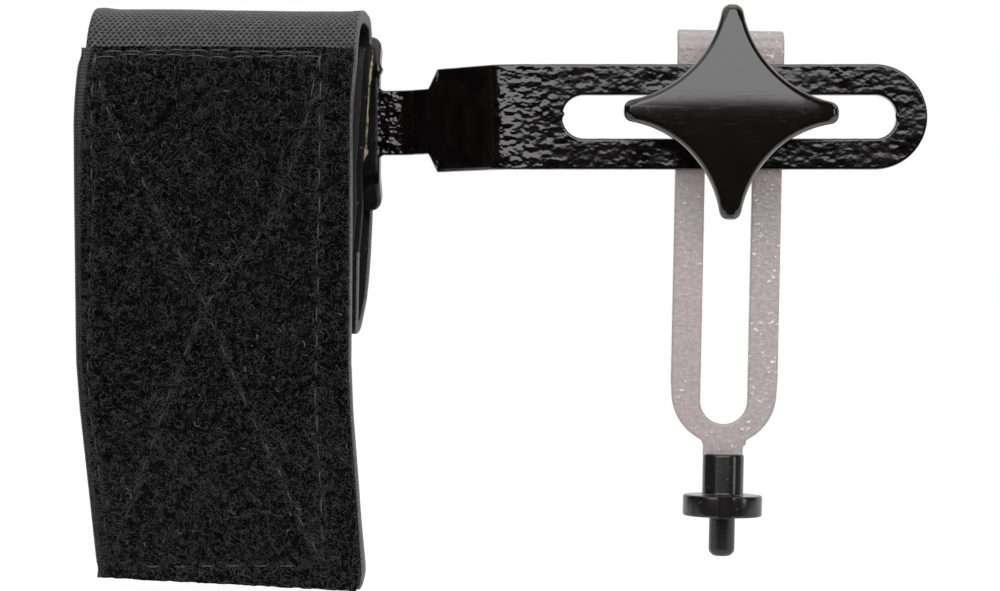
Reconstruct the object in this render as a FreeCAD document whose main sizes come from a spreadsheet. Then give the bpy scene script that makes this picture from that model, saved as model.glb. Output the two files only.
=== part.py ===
import FreeCAD, Part
import math
import os
import Sketcher

# Pocket wheel-truing gauge that straps to a fork leg. Millimetres, +Z up.
# The origin is the middle of the saddle's seat, where the leg rests. The slotted arm runs
# along +X, the gauge bracket hangs along -Z, and the clamp bolt lies along Y, knob forward.

SIZES = {
    # sheet-steel arm
    "arm_sheet": 3.0, "arm_width": 20.0, "arm_end_x": 126.65, "arm_face_y": -26.5,
    "arm_slot_left": 57.7, "arm_slot_right": 120.8, "arm_slot_width": 8.1,
    "arm_bend": 48.9, "bend_inner": 2.5, "shoulder_x": 33.7, "shoulder_run": 1.7,
    "neck_width": 12.7, "neck_bend": 27.0, "neck_root": 10.0,
    # saddle across the end of the neck
    "saddle_yaw": 6.0, "saddle_length": 45.0, "saddle_flat": 9.9, "saddle_reach": 17.2,
    "wing_angle": 30.0, "wing_inner": 1.5, "wing_corner": 3.0, "neck_fillet": 1.0,
    # gauge bracket, measured from the clamp bolt
    "plate_sheet": 2.5, "plate_width": 20.2, "plate_top": 16.7, "lip_length": 4.5,
    "lip_inner": 1.2, "plate_slot_top": 8.0, "plate_slot_low": -53.8, "plate_slot_width": 9.0,
    "plate_round_low": -52.3, "plate_round": 9.95, "tongue_width": 7.5, "tongue_end": -64.15,
    "tongue_fillet": 1.6, "tang_width": 4.5, "tang_length": 6.0, "plate_lean": 1.18,
    "plate_offset": 0.5,
    # feeler
    "feeler_body": 7.6, "collar_top": -71.7, "collar_foot": -76.0, "collar_width": 14.8,
    "collar_edge": 0.4, "pin_width": 4.9, "pin_end": -83.35, "pin_chamfer": 0.9,
    "gate_width": 2.6, "gate_depth": 0.9,
    # clamp
    "bolt_x": 89.0, "bolt_z": 0.12, "thread_width": 7.7, "bolt_length": 19.0,
    "bolt_chamfer": 0.8, "head_width": 17.0, "head_rim": 0.8, "head_height": 4.0,
    "neck_square": 7.9, "neck_height": 2.3,
    "washer_width": 16.0, "washer_bore": 8.4, "washer_sheet": 1.6,
    "split_width": 14.8, "split_bore": 8.3, "split_sheet": 2.0, "split_gap": 1.5,
    # knob
    "knob_reach": 20.2, "hollow_centre": 22.2, "hollow_radius": 20.4, "knob_turned": 0.7,
    "boss_width": 17.0, "boss_height": 2.4, "knob_wall": 6.2, "knob_crown": 3.4,
    "knob_corner": 1.3, "knob_edge": 0.8, "knob_draft": 3.0, "bush_flats": 12.0, "bush_length": 9.0, "bush_bore": 7.84,
    "bolt_relief": 8.6, "relief_depth": 10.6,
    # strap
    "web_width": 52.0, "web_sheet": 2.3, "glue_sheet": 0.5,
    "hook_sheet": 1.5, "loop_sheet": 1.8, "hook_width": 50.0, "loop_left": 26.7,
    "loop_right": 25.75, "loop_overhang": 2.6, "glue_lift": 0.6, "glue_left": 5.0,
    "glue_right": 1.0,
}

doc = FreeCAD.newDocument("wheel_truing_gauge")
sheet = doc.addObject("Spreadsheet::Sheet", "Sizes")
for row, (alias, number) in enumerate(SIZES.items(), start=1):
    sheet.set(f"A{row}", alias)
    sheet.set(f"B{row}", str(number))
    sheet.setAlias(f"B{row}", alias)
doc.recompute()


class Size:
    """A number that also carries the spreadsheet expression it comes from."""

    def __init__(self, value, text):
        self.value = value
        self.text = text

    def __add__(self, other):
        other = size_of(other)
        return Size(self.value + other.value, f"({self.text} + {other.text})")

    def __sub__(self, other):
        other = size_of(other)
        return Size(self.value - other.value, f"({self.text} - {other.text})")

    def __mul__(self, other):
        other = size_of(other)
        return Size(self.value * other.value, f"({self.text} * {other.text})")

    def __truediv__(self, other):
        other = size_of(other)
        return Size(self.value / other.value, f"({self.text} / {other.text})")

    def __neg__(self):
        return Size(-self.value, f"(0 - {self.text})")


def size_of(thing):
    """A Size as it is, or a plain number made into one."""
    return thing if isinstance(thing, Size) else Size(float(thing), repr(float(thing)))


def cell(alias):
    """The driving dimension of that name."""
    return Size(float(sheet.get(alias)), f"Sizes.{alias}")


def sine(angle):
    return Size(math.sin(math.radians(angle.value)), f"sin({angle.text})")


def cosine(angle):
    return Size(math.cos(math.radians(angle.value)), f"cos({angle.text})")


def tangent(angle):
    return Size(math.tan(math.radians(angle.value)), f"tan({angle.text})")


def root(number):
    return Size(math.sqrt(number.value), f"sqrt({number.text})")


def bind(thing, **properties):
    """Tie each property of a feature to its size."""
    for name, size in properties.items():
        thing.setExpression(name, size_of(size).text)


# ---- sketching and PartDesign helpers

def new_body(name):
    body = doc.addObject("PartDesign::Body", name)
    body.Label = name
    return body


def new_sketch(body, name, role, offset=None):
    """A sketch on one of the body's own origin planes, shifted by an offset placement."""
    sketch = body.newObject("Sketcher::SketchObject", name)
    plane = [item for item in body.Origin.OriginFeatures if item.Role == role][0]
    sketch.AttachmentSupport = [(plane, "")]
    sketch.MapMode = "FlatFace"
    if offset is not None:
        sketch.AttachmentOffset = offset
    return sketch


def forward(distance):
    """Offset that moves a sketch on the XZ plane towards the front, to Y = -distance."""
    return FreeCAD.Placement(FreeCAD.Vector(0, 0, distance), FreeCAD.Rotation())


def pin_coordinate(sketch, geometry, position, kind, size):
    """Hold one coordinate of a point at a size from the spreadsheet."""
    number = sketch.addConstraint(
        Sketcher.Constraint(kind, -1, 1, geometry, position, size.value))
    sketch.setExpression(f"Constraints[{number}]", size.text)


def draw_loop(sketch, *steps):
    """Closed loop of lines and arcs. A step (u, v) is a line to that point, and
    (u, v, cu, cv, turn) an arc about (cu, cv), anticlockwise where turn is 1. The loop
    starts where its last step ends. Every point is held by sizes from the spreadsheet."""
    steps = [tuple(size_of(item) for item in step) for step in steps]
    starts, ends = [], []
    for here, there in zip([steps[-1]] + steps[:-1], steps):
        begin = FreeCAD.Vector(here[0].value, here[1].value)
        end = FreeCAD.Vector(there[0].value, there[1].value)
        if len(there) == 2:
            index = sketch.addGeometry(Part.LineSegment(begin, end))
            start_at, end_at = 1, 2
        else:
            middle = FreeCAD.Vector(there[2].value, there[3].value)
            turns_left = there[4].value > 0
            low, high = (begin, end) if turns_left else (end, begin)
            angles = [math.atan2(p.y - middle.y, p.x - middle.x) for p in (low, high)]
            if angles[1] <= angles[0]:
                angles[1] += 2 * math.pi
            circle = Part.Circle(middle, FreeCAD.Vector(0, 0, 1), (begin - middle).Length)
            index = sketch.addGeometry(Part.ArcOfCircle(circle, *angles))
            start_at, end_at = (1, 2) if turns_left else (2, 1)
        starts.append((index, start_at))
        ends.append((index, end_at))
    for end, start in zip(ends, starts[1:] + starts[:1]):
        sketch.addConstraint(Sketcher.Constraint("Coincident", *end, *start))
    for (index, end_at), here, there in zip(ends, [steps[-1]] + steps[:-1], steps):
        pin_coordinate(sketch, index, end_at, "DistanceX", there[0])
        pin_coordinate(sketch, index, end_at, "DistanceY", there[1])
        if len(there) > 2:
            wide = abs(there[0].value - here[0].value) >= abs(there[1].value - here[1].value)
            kind, centre = ("DistanceY", there[3]) if wide else ("DistanceX", there[2])
            pin_coordinate(sketch, index, 3, kind, centre)


def draw_rectangle(sketch, left, low, right, high):
    draw_loop(sketch, (right, low), (right, high), (left, high), (left, low))


def draw_slot(sketch, first, last, half, upright=False):
    """Slot with round ends whose end centres are at first and last on one sketch axis."""
    if upright:
        draw_loop(sketch, (half, last), (-half, last, 0, last, 1),
                  (-half, first), (half, first, 0, first, 1))
    else:
        draw_loop(sketch, (last, -half), (last, half, last, 0, 1),
                  (first, half), (first, -half, first, 0, 1))


def add_circle(sketch, radius):
    """Circle about the sketch's origin."""
    circle = Part.Circle(FreeCAD.Vector(0, 0), FreeCAD.Vector(0, 0, 1), radius.value)
    index = sketch.addGeometry(circle)
    sketch.addConstraint(Sketcher.Constraint("Coincident", index, 3, -1, 1))
    number = sketch.addConstraint(Sketcher.Constraint("Radius", index, radius.value))
    sketch.setExpression(f"Constraints[{number}]", radius.text)


def pad(body, name, sketch, length, both_ways=False):
    feature = body.newObject("PartDesign::Pad", name)
    feature.Profile = sketch
    feature.Midplane = both_ways
    bind(feature, Length=length)
    doc.recompute()
    return feature


def pocket(body, name, sketch, length=None, backwards=False):
    """Pocket of a set depth, or through everything both ways where no length is given."""
    before = body.Shape.Volume
    feature = body.newObject("PartDesign::Pocket", name)
    feature.Profile = sketch
    feature.Reversed = backwards
    if length is None:
        feature.Type = "ThroughAll"
        feature.Midplane = True
    else:
        bind(feature, Length=length)
    doc.recompute()
    if not body.Shape.Volume < before:
        raise RuntimeError(f"{name} cut nothing")
    return feature


def turned(body, name, sketch, kind="Revolution"):
    """Full revolution, or Groove, about the sketch's vertical axis."""
    feature = body.newObject(f"PartDesign::{kind}", name)
    feature.Profile = sketch
    feature.ReferenceAxis = (sketch, ["V_Axis"])
    feature.Angle = 360
    doc.recompute()
    return feature


def dress(body, kind, name, chosen, **sizes):
    """Fillet or Chamfer the edges that the test picks out of the body as it stands."""
    base = body.Tip
    names = [f"Edge{number}" for number, edge in enumerate(base.Shape.Edges, start=1)
             if chosen(edge)]
    if not names:
        raise RuntimeError(f"{name} found no edge")
    feature = body.newObject(f"PartDesign::{kind}", name)
    feature.Base = (base, names)
    bind(feature, **sizes)
    doc.recompute()
    return feature


def is_line(edge):
    return isinstance(edge.Curve, (Part.Line, Part.LineSegment))


def middle_of(edge):
    return edge.valueAt((edge.FirstParameter + edge.LastParameter) / 2)


# ---- arm: one strip of sheet, cut to outline, bent twice, with the saddle across its end

def make_arm():
    sheet_size, face, inner = cell("arm_sheet"), cell("arm_face_y"), cell("bend_inner")
    bend, yaw, reach = cell("arm_bend"), cell("saddle_yaw"), cell("neck_bend")
    outer = inner + sheet_size
    # Front-face points of the neck bend, in the saddle's turned frame and then in the row's.
    neck_x = reach * cosine(yaw) - sheet_size * sine(yaw)
    neck_y = -(reach * sine(yaw)) - sheet_size * cosine(yaw)
    neck_centre = (neck_x - inner * sine(yaw), neck_y - inner * cosine(yaw))
    ramp_x = neck_centre[0] + inner * sine(bend)
    ramp_y = neck_centre[1] + inner * cosine(bend)
    ramp_length = (ramp_y - face - outer * (size_of(1) - cosine(bend))) / sine(bend)
    first_x = ramp_x + outer * sine(bend) + ramp_length * cosine(bend)
    first_centre = (first_x, face + outer)
    root_length = cell("neck_root")
    root_x = root_length * cosine(yaw)
    root_y = -(root_length * sine(yaw))

    arm = new_body("arm")
    profile = new_sketch(arm, "arm_bend_profile", "XY_Plane")
    draw_loop(
        profile,
        (first_x, face),
        (first_x - outer * sine(bend), face + outer - outer * cosine(bend), *first_centre, -1),
        (ramp_x, ramp_y),
        (neck_x, neck_y, *neck_centre, 1),
        (root_x - sheet_size * sine(yaw), root_y - sheet_size * cosine(yaw)),
        (root_x, root_y),
        (neck_x + sheet_size * sine(yaw), neck_y + sheet_size * cosine(yaw)),
        (ramp_x + sheet_size * sine(bend), ramp_y + sheet_size * cosine(bend),
         *neck_centre, -1),
        (first_x - inner * sine(bend), first_centre[1] - inner * cosine(bend)),
        (first_x, face + sheet_size, *first_centre, 1),
        (cell("arm_end_x"), face + sheet_size),
        (cell("arm_end_x"), face))
    pad(arm, "arm_strip", profile, cell("arm_width"), both_ways=True)

    half, neck_half = cell("arm_width") / 2, cell("neck_width") / 2
    shoulder, run = cell("shoulder_x"), cell("shoulder_run")
    end_centre = cell("arm_end_x") - half
    outline = new_sketch(arm, "arm_outline", "XZ_Plane")
    draw_loop(
        outline,
        (shoulder, -half), (end_centre, -half), (end_centre, half, end_centre, 0, 1),
        (shoulder, half), (shoulder - run, neck_half), (-1, neck_half), (-1, -neck_half),
        (shoulder - run, -neck_half))
    draw_rectangle(outline, -2, -half - 2, cell("arm_end_x") + 2, half + 2)
    pocket(arm, "arm_trim", outline)

    slot_half = cell("arm_slot_width") / 2
    slot = new_sketch(arm, "arm_slot_outline", "XZ_Plane")
    draw_slot(slot, cell("arm_slot_left") + slot_half, cell("arm_slot_right") - slot_half,
              slot_half)
    pocket(arm, "arm_slot", slot)

    # Saddle section: flat middle, a wing bent back along each side.
    flat, tip, wing = cell("saddle_flat"), cell("saddle_reach"), cell("wing_angle")
    rear = cell("wing_inner")
    front = rear + sheet_size
    wing_front = -sheet_size + front * (size_of(1) - cosine(wing))
    wing_start = flat + front * sine(wing)
    tip_front = wing_front + (tip - wing_start) * tangent(wing)
    rear_tip = tip - sheet_size * sine(wing)
    tip_rear = tip_front + sheet_size * cosine(wing)
    rear_front = rear * (size_of(1) - cosine(wing))
    rear_start = flat + rear * sine(wing)
    turn = FreeCAD.Rotation(FreeCAD.Vector(0, 1, 0), -yaw.value)
    section = new_sketch(arm, "saddle_section", "YZ_Plane",
                         FreeCAD.Placement(FreeCAD.Vector(), turn))
    section.setExpression("AttachmentOffset.Rotation.Angle", f"(0 - {yaw.text}) * 1 deg")
    draw_loop(
        section,
        (-sheet_size, flat), (wing_front, wing_start, rear, flat, -1),
        (tip_front, tip), (tip_rear, rear_tip),
        (rear_front, rear_start), (0, flat, rear, flat, 1),
        (0, -flat), (rear_front, -rear_start, rear, -flat, 1),
        (tip_rear, -rear_tip), (tip_front, -tip),
        (wing_front, -wing_start), (-sheet_size, -flat, rear, -flat, -1))
    pad(arm, "saddle", section, cell("saddle_length"), both_ways=True)

    def across(point):
        """Distance along the saddle's own axis from its middle."""
        return point.x * cosine(yaw).value - point.y * sine(yaw).value

    half_length = cell("saddle_length").value / 2
    dress(arm, "Fillet", "wing_corners", lambda edge: (
        is_line(edge) and abs(abs(across(middle_of(edge))) - half_length) < 0.01
        and abs(middle_of(edge).z) > rear_tip.value - 0.01
        and abs(edge.Length - sheet_size.value) < 0.01), Radius=cell("wing_corner"))
    dress(arm, "Fillet", "neck_corners", lambda edge: (
        is_line(edge) and abs(across(middle_of(edge)) - half_length) < 0.01
        and abs(abs(middle_of(edge).z) - neck_half.value) < 0.01),
        Radius=cell("neck_fillet"))
    return arm


# ---- gauge bracket and the feeler on its tang, in a frame centred on the clamp bolt

def bracket_placement():
    """The bracket leans about the bolt and hangs a little off its middle in the slot."""
    lean = FreeCAD.Rotation(FreeCAD.Vector(0, 1, 0), cell("plate_lean").value)
    rear = cell("arm_face_y") + cell("arm_sheet")
    place = FreeCAD.Vector(cell("bolt_x").value + cell("plate_offset").value,
                           rear.value, cell("bolt_z").value)
    return FreeCAD.Placement(place, lean)


def make_gauge_bracket():
    steel, top, inner = cell("plate_sheet"), cell("plate_top"), cell("lip_inner")
    outer = inner + steel
    foot = cell("tongue_end") - cell("tang_length")
    body = new_body("gauge_bracket")
    side = new_sketch(body, "bracket_bend_profile", "YZ_Plane")
    draw_loop(
        side,
        (steel, foot), (steel, top - outer), (outer, top - steel, outer, top - outer, -1),
        (cell("lip_length"), top - steel), (cell("lip_length"), top), (outer, top),
        (0, top - outer, outer, top - outer, 1), (0, foot))
    pad(body, "bracket_strip", side, cell("plate_width"), both_ways=True)

    # Round foot running into the tongue, and the narrower tang inside the feeler.
    half, tongue, tang = (cell(name) / 2 for name in ("plate_width", "tongue_width",
                                                       "tang_width"))
    centre, radius, blend = (cell(name) for name in ("plate_round_low", "plate_round",
                                                     "tongue_fillet"))
    blend_x = tongue + blend
    drop = root((radius + blend) * (radius + blend) - blend_x * blend_x)
    blend_z = centre - drop
    meet_x = blend_x * radius / (radius + blend)
    meet_z = centre - drop * radius / (radius + blend)
    outline = new_sketch(body, "bracket_outline", "XZ_Plane")
    above, below = top + 1, foot - 1
    draw_loop(
        outline,
        (half, above), (-half, above), (-half, centre), (-radius, centre),
        (-meet_x, meet_z, 0, centre, 1), (-tongue, blend_z, -blend_x, blend_z, -1),
        (-tongue, cell("tongue_end")), (-tang, cell("tongue_end")), (-tang, foot - 0.5),
        (tang, foot - 0.5), (tang, cell("tongue_end")), (tongue, cell("tongue_end")),
        (tongue, blend_z), (meet_x, meet_z, blend_x, blend_z, -1),
        (radius, centre, 0, centre, 1), (half, centre))
    draw_rectangle(outline, -half - 1, below, half + 1, above + 1)
    pocket(body, "bracket_trim", outline)

    slot_half = cell("plate_slot_width") / 2
    slot = new_sketch(body, "bracket_slot_outline", "XZ_Plane")
    draw_slot(slot, cell("plate_slot_low"), cell("plate_slot_top") - slot_half, slot_half,
              upright=True)
    pocket(body, "bracket_slot", slot)
    body.Placement = bracket_placement()
    return body


def make_feeler_tip():
    body = new_body("feeler_tip")
    middle = cell("plate_sheet") / 2
    barrel, collar, pin = (cell(name) / 2 for name in ("feeler_body", "collar_width",
                                                        "pin_width"))
    top, high, low, end = (cell(name) for name in ("tongue_end", "collar_top",
                                                   "collar_foot", "pin_end"))
    edge, cut = cell("collar_edge"), cell("pin_chamfer")
    half = new_sketch(body, "feeler_half_section", "XZ_Plane", forward(-middle.value))
    draw_loop(
        half,
        (0, end), (pin - cut, end), (pin, end + cut), (pin, low), (collar - edge, low),
        (collar, low + edge), (collar, high - edge), (collar - edge, high), (barrel, high),
        (barrel, top), (0, top))
    turned(body, "feeler_turning", half)

    tang = new_sketch(body, "tang_seat_outline", "XY_Plane",
                      FreeCAD.Placement(FreeCAD.Vector(0, 0, top.value), FreeCAD.Rotation()))
    tang.setExpression("AttachmentOffset.Base.z", top.text)
    draw_rectangle(tang, -cell("tang_width") / 2, 0, cell("tang_width") / 2,
                   cell("plate_sheet"))
    pocket(body, "tang_seat", tang, cell("tang_length"))

    front = collar - middle
    gate = new_sketch(body, "gate_outline", "XZ_Plane", forward(front.value + 0.5))
    draw_rectangle(gate, -cell("gate_width") / 2, low - 0.5, cell("gate_width") / 2,
                   high + 0.5)
    pocket(body, "gate_recess", gate, cell("gate_depth") + 0.5)
    body.Placement = bracket_placement()
    return body


# ---- clamp: bolt, washers, knob and bush on one axis through both slots

def clamp_axis(angle=0.0):
    """Placement on the bolt's axis, turned about it."""
    place = FreeCAD.Vector(cell("bolt_x").value, 0, cell("bolt_z").value)
    return FreeCAD.Placement(place, FreeCAD.Rotation(FreeCAD.Vector(0, 1, 0), angle))


def make_clamp_bolt():
    body = new_body("clamp_bolt")
    seat = cell("arm_face_y") + cell("arm_sheet") + cell("plate_sheet")
    head, thread, cut = cell("head_width") / 2, cell("thread_width") / 2, cell("bolt_chamfer")
    rim, crown = seat + cell("head_rim"), seat + cell("head_height")
    rise = cell("head_height") - cell("head_rim")
    dome = (head * head + rise * rise) / (rise * 2)
    end = seat - cell("bolt_length")
    half = new_sketch(body, "bolt_half_section", "XY_Plane")
    draw_loop(
        half,
        (0, end), (thread - cut, end), (thread, end + cut), (thread, seat), (head, seat),
        (head, rim), (0, crown, 0, crown - dome, 1))
    turned(body, "bolt_turning", half)
    neck = cell("neck_square") / 2
    square = new_sketch(body, "bolt_neck_outline", "XZ_Plane", forward(-seat.value))
    draw_rectangle(square, -neck, -neck, neck, neck)
    pad(body, "bolt_neck", square, cell("neck_height"))
    body.Placement = clamp_axis(cell("plate_lean").value)
    return body


def make_flat_washer():
    body = new_body("flat_washer")
    face = -cell("arm_face_y")
    ring = new_sketch(body, "washer_ring", "XZ_Plane", forward(face.value))
    add_circle(ring, cell("washer_width") / 2)
    add_circle(ring, cell("washer_bore") / 2)
    pad(body, "washer_blank", ring, cell("washer_sheet"))
    body.Placement = clamp_axis()
    return body


def make_spring_washer():
    body = new_body("spring_washer")
    face = -cell("arm_face_y") + cell("washer_sheet")
    ring = new_sketch(body, "split_ring", "XZ_Plane", forward(face.value))
    add_circle(ring, cell("split_width") / 2)
    add_circle(ring, cell("split_bore") / 2)
    pad(body, "split_blank", ring, cell("split_sheet"))
    gap, rim = cell("split_gap") / 2, cell("split_width") / 2
    split = new_sketch(body, "split_outline", "XZ_Plane")
    draw_rectangle(split, -gap, 1, gap, rim + 1)
    pocket(body, "split", split)
    body.Placement = clamp_axis(math.degrees(2.4))
    return body


def knob_base():
    """Distance from the origin plane forward to the foot of the knob's boss."""
    return -cell("arm_face_y") + cell("washer_sheet") + cell("split_sheet")


def make_star_knob():
    body = new_body("star_knob")
    base = knob_base()
    wall = base + cell("boss_height")
    boss = new_sketch(body, "boss_circle", "XZ_Plane", forward(base.value))
    add_circle(boss, cell("boss_width") / 2)
    pad(body, "boss", boss, cell("boss_height"))

    # Four hollows of one radius between arms with flat ends and rounded corners.
    reach, centre, hollow = cell("knob_reach"), cell("hollow_centre"), cell("hollow_radius")
    corner = cell("knob_corner")
    inner = reach - corner
    past = centre - inner
    spread = hollow + corner
    flat = centre - root(spread * spread - past * past)
    near = centre - (centre - flat) * hollow / spread
    far = centre - past * hollow / spread
    star = new_sketch(body, "star_outline", "XZ_Plane", forward(wall.value))
    draw_loop(
        star,
        (near, far, centre, centre, -1), (flat, reach, flat, inner, 1),
        (-flat, reach), (-near, far, -flat, inner, 1),
        (-far, near, -centre, centre, -1), (-reach, flat, -inner, flat, 1),
        (-reach, -flat), (-far, -near, -inner, -flat, 1),
        (-near, -far, -centre, -centre, -1), (-flat, -reach, -flat, -inner, 1),
        (flat, -reach), (near, -far, flat, -inner, 1),
        (far, -near, centre, -centre, -1), (reach, -flat, inner, -flat, 1),
        (reach, flat), (far, near, inner, flat, 1))
    height = cell("knob_wall") + cell("knob_crown")
    blank = pad(body, "star", star, height)
    bind(blank, TaperAngle=-cell("knob_draft"))

    # Crown: the face is part of a large sphere.
    rim, crown = cell("knob_wall") + wall, height + wall
    dome = (reach * reach + cell("knob_crown") * cell("knob_crown")) / (
        cell("knob_crown") * 2)
    spread = reach + 2
    edge_y = dome - crown - root(dome * dome - spread * spread)
    face = new_sketch(body, "crown_section", "XY_Plane")
    draw_loop(
        face,
        (spread, edge_y, 0, dome - crown, 1), (spread, -crown - 1), (0, -crown - 1),
        (0, -crown))
    turned(body, "crown", face, kind="Groove")
    back = -(wall.value)
    dress(body, "Chamfer", "knob_rim", lambda edge: (
        middle_of(edge).y < -rim.value + 2.5 and middle_of(edge).y < back - 3),
        Size=cell("knob_edge"))

    seat = new_sketch(body, "bush_seat_outline", "XZ_Plane", forward(base.value))
    draw_hexagon(seat, cell("bush_flats"))
    pocket(body, "bush_seat", seat, cell("bush_length"), backwards=True)
    relief = new_sketch(body, "bolt_relief_circle", "XZ_Plane", forward(base.value))
    add_circle(relief, cell("bolt_relief") / 2)
    pocket(body, "bolt_relief", relief, cell("relief_depth"), backwards=True)
    body.Placement = clamp_axis(cell("knob_turned").value)
    return body


def draw_hexagon(sketch, flats):
    """Regular hexagon about the origin, measured across its flats."""
    corner = flats / root(size_of(3))
    points = []
    for number in range(6):
        angle = size_of(60 * number)
        points.append((corner * cosine(angle), corner * sine(angle)))
    draw_loop(sketch, *points)


def make_knob_bush():
    body = new_body("knob_bush")
    base = knob_base()
    blank = new_sketch(body, "bush_outline", "XZ_Plane", forward(base.value))
    draw_hexagon(blank, cell("bush_flats"))
    add_circle(blank, cell("bush_bore") / 2)
    pad(body, "bush_blank", blank, cell("bush_length"))
    body.Placement = clamp_axis(cell("knob_turned").value)
    return body


# ---- strap: one ribbon followed from its tucked hem, up the saddle, over the top and down

def travel(point, heading, moves, step=9.0):
    """Follow straight runs and arcs, each a pair (length, turn in degrees), in the plane
    across the strap. Gives a list of (depth, height, heading, distance)."""
    depth, height = point
    distance = 0.0
    stations = [(depth, height, heading, distance)]
    for length, turn in moves:
        count = max(1, math.ceil(abs(turn) / step), math.ceil(length / 12.0))
        for _ in range(count):
            piece, bend = length / count, math.radians(turn / count)
            chord = piece if bend == 0 else 2 * piece / bend * math.sin(bend / 2)
            angle = math.radians(heading) + bend / 2
            depth += chord * math.cos(angle)
            height += chord * math.sin(angle)
            heading += turn / count
            distance += piece
            stations.append((depth, height, heading, distance))
    return stations


def arc(radius, turn):
    """A move that turns by that many degrees at that radius."""
    return (math.radians(abs(turn)) * radius, turn)


# The ribbon lies against the saddle's front with the adhesive between, and follows its wing.
standoff = cell("glue_sheet").value + cell("web_sheet").value / 2
web_depth = -cell("arm_sheet").value - standoff
wing_radius = cell("wing_inner").value + cell("arm_sheet").value + standoff
wing_turn = cell("wing_angle").value
saddle_flat = cell("saddle_flat").value
TUCKED_TOP = -12.5
TUCKED = [(3.5, 0), arc(20.0, -14.0), (17.8, 0), arc(2.66, -166.0)]
drift, fold_height = travel((0.0, TUCKED_TOP), -90.0, TUCKED)[-1][:2]
TUCKED_START = (web_depth - drift, TUCKED_TOP)
HOOK_FREE = 5.0
FLAT_START = cell("glue_lift").value - saddle_flat
UP_SADDLE = [(HOOK_FREE, 0), (FLAT_START - fold_height - HOOK_FREE, 0),
             (saddle_flat - FLAT_START, 0), arc(wing_radius, -wing_turn), (1.0, 0)]
OVER_TOP = [arc(4.0, 112.0), arc(33.0, 18.0), arc(10.0, 42.0), arc(24.0, 15.0),
            arc(24.0, 30.0)]
DOWN_FRONT = [(40.0, 0), (45.3, -2.0)]
LONG_HEM = [arc(1.3, 180.0), (28.0, 0)]


def run_length(moves):
    return sum(length for length, turn in moves)


# Distances along the ribbon from its tucked end.
fold_end = run_length(TUCKED)
hook_start = fold_end + HOOK_FREE
flat_start = fold_end + run_length(UP_SADDLE[:2])
flat_end = fold_end + run_length(UP_SADDLE[:3])
saddle_end = fold_end + run_length(UP_SADDLE)
loop_start = saddle_end + run_length(OVER_TOP[:4])
front_start = saddle_end + run_length(OVER_TOP)
long_end = front_start + run_length(DOWN_FRONT)
web_end = long_end + run_length(LONG_HEM)

# How far the ribbon lies to one side, rolls, turns and narrows, at places along it.
SHIFT = [(0.0, -5.5), (13.0, -5.7), (19.0, -6.3), (24.0, -7.3), (29.5, -7.8),
         (fold_end, -7.2), (fold_end + 12.0, -7.0), (flat_start - 7.0, -6.2),
         (flat_start, -6.0), (flat_start + 12.0, -5.0), (saddle_end, -4.4),
         (saddle_end + 4.2, -4.8), (loop_start, -4.25), (front_start, -4.85),
         (front_start + 45.0, -5.9), (front_start + 54.0, -5.65), (long_end, -3.4),
         (web_end, -5.9)]
ROLL = [(0.0, 0.0), (saddle_end, 0.0), (saddle_end + 8.0, -0.8), (front_start, -0.4),
        (front_start + 40.0, 0.0), (long_end, -1.6), (web_end, -1.6)]
TURN = [(0.0, 0.0), (front_start + 40.0, 0.0), (long_end, 4.0), (web_end, 1.9)]
NARROWING = [(0.0, 0.0), (front_start + 15.0, 0.0), (long_end, 0.5), (web_end, 0.5)]


def along(table, distance):
    """Value at a distance along the ribbon, straight between the table's places."""
    for (start, low), (end, high) in zip(table, table[1:]):
        if distance <= end:
            return low + (high - low) * (distance - start) / (end - start)
    return table[-1][1]


def ribbon_point(station, side, out):
    """Point of the ribbon at a station, side millimetres to the right of its middle line
    and out millimetres towards its outer face."""
    depth, height, heading, distance = station
    narrowing = along(NARROWING, distance)
    side += narrowing if side < 0 else -narrowing
    yaw = math.radians(cell("saddle_yaw").value)
    turn, roll = (math.radians(along(table, distance)) for table in (TURN, ROLL))
    angle = math.radians(heading)
    shift = along(SHIFT, distance)
    middle = FreeCAD.Vector(shift * math.cos(yaw) + depth * math.sin(yaw),
                            depth * math.cos(yaw) - shift * math.sin(yaw), height)
    across = FreeCAD.Vector(math.cos(yaw + turn) * math.cos(roll),
                            -math.sin(yaw + turn) * math.cos(roll), math.sin(roll))
    outward = FreeCAD.Vector(math.sin(yaw + turn) * math.sin(angle),
                             math.cos(yaw + turn) * math.sin(angle), -math.cos(angle))
    return middle + across * side + outward * out


def ribbon(name, stations, left, right, inner, outer):
    """Closed ribbon through the stations, between two sides and two offsets."""
    sections = []
    for station in stations:
        corners = [ribbon_point(station, side, out) for side, out in
                   ((left, inner), (right, inner), (right, outer), (left, outer))]
        sections.append(Part.makePolygon(corners + corners[:1]))
    feature = doc.addObject("Part::Feature", name)
    feature.Label = name
    feature.Shape = Part.makeLoft(sections, True, True)
    return feature


def between(stations, start, end):
    """The stations from one distance to another, both of which are stations."""
    return [item for item in stations if start - 0.001 < item[3] < end + 0.001]


def make_strap():
    path = travel(TUCKED_START, -90.0,
                  TUCKED + UP_SADDLE + OVER_TOP + DOWN_FRONT + LONG_HEM)
    side, half = cell("web_width").value / 2, cell("web_sheet").value / 2
    ribbon("strap_web", path, -side, side, -half, half)
    hook = cell("hook_width").value / 2
    ribbon("hook_panel", between(path, hook_start, saddle_end), -hook, hook,
           -half - cell("hook_sheet").value, -half)
    ribbon("adhesive_film", between(path, flat_start, flat_end),
           cell("glue_left").value - side, side - cell("glue_right").value,
           half, half + cell("glue_sheet").value)

    # The loop tape runs on straight past the fold at the strap's end.
    front = between(path, loop_start, long_end)
    depth, height, heading, distance = front[-1]
    overhang = cell("loop_overhang").value
    angle = math.radians(heading)
    front.append((depth + overhang * math.cos(angle), height + overhang * math.sin(angle),
                  heading, distance))
    ribbon("loop_panel", front, -cell("loop_left").value, cell("loop_right").value,
           half, half + cell("loop_sheet").value)


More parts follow.
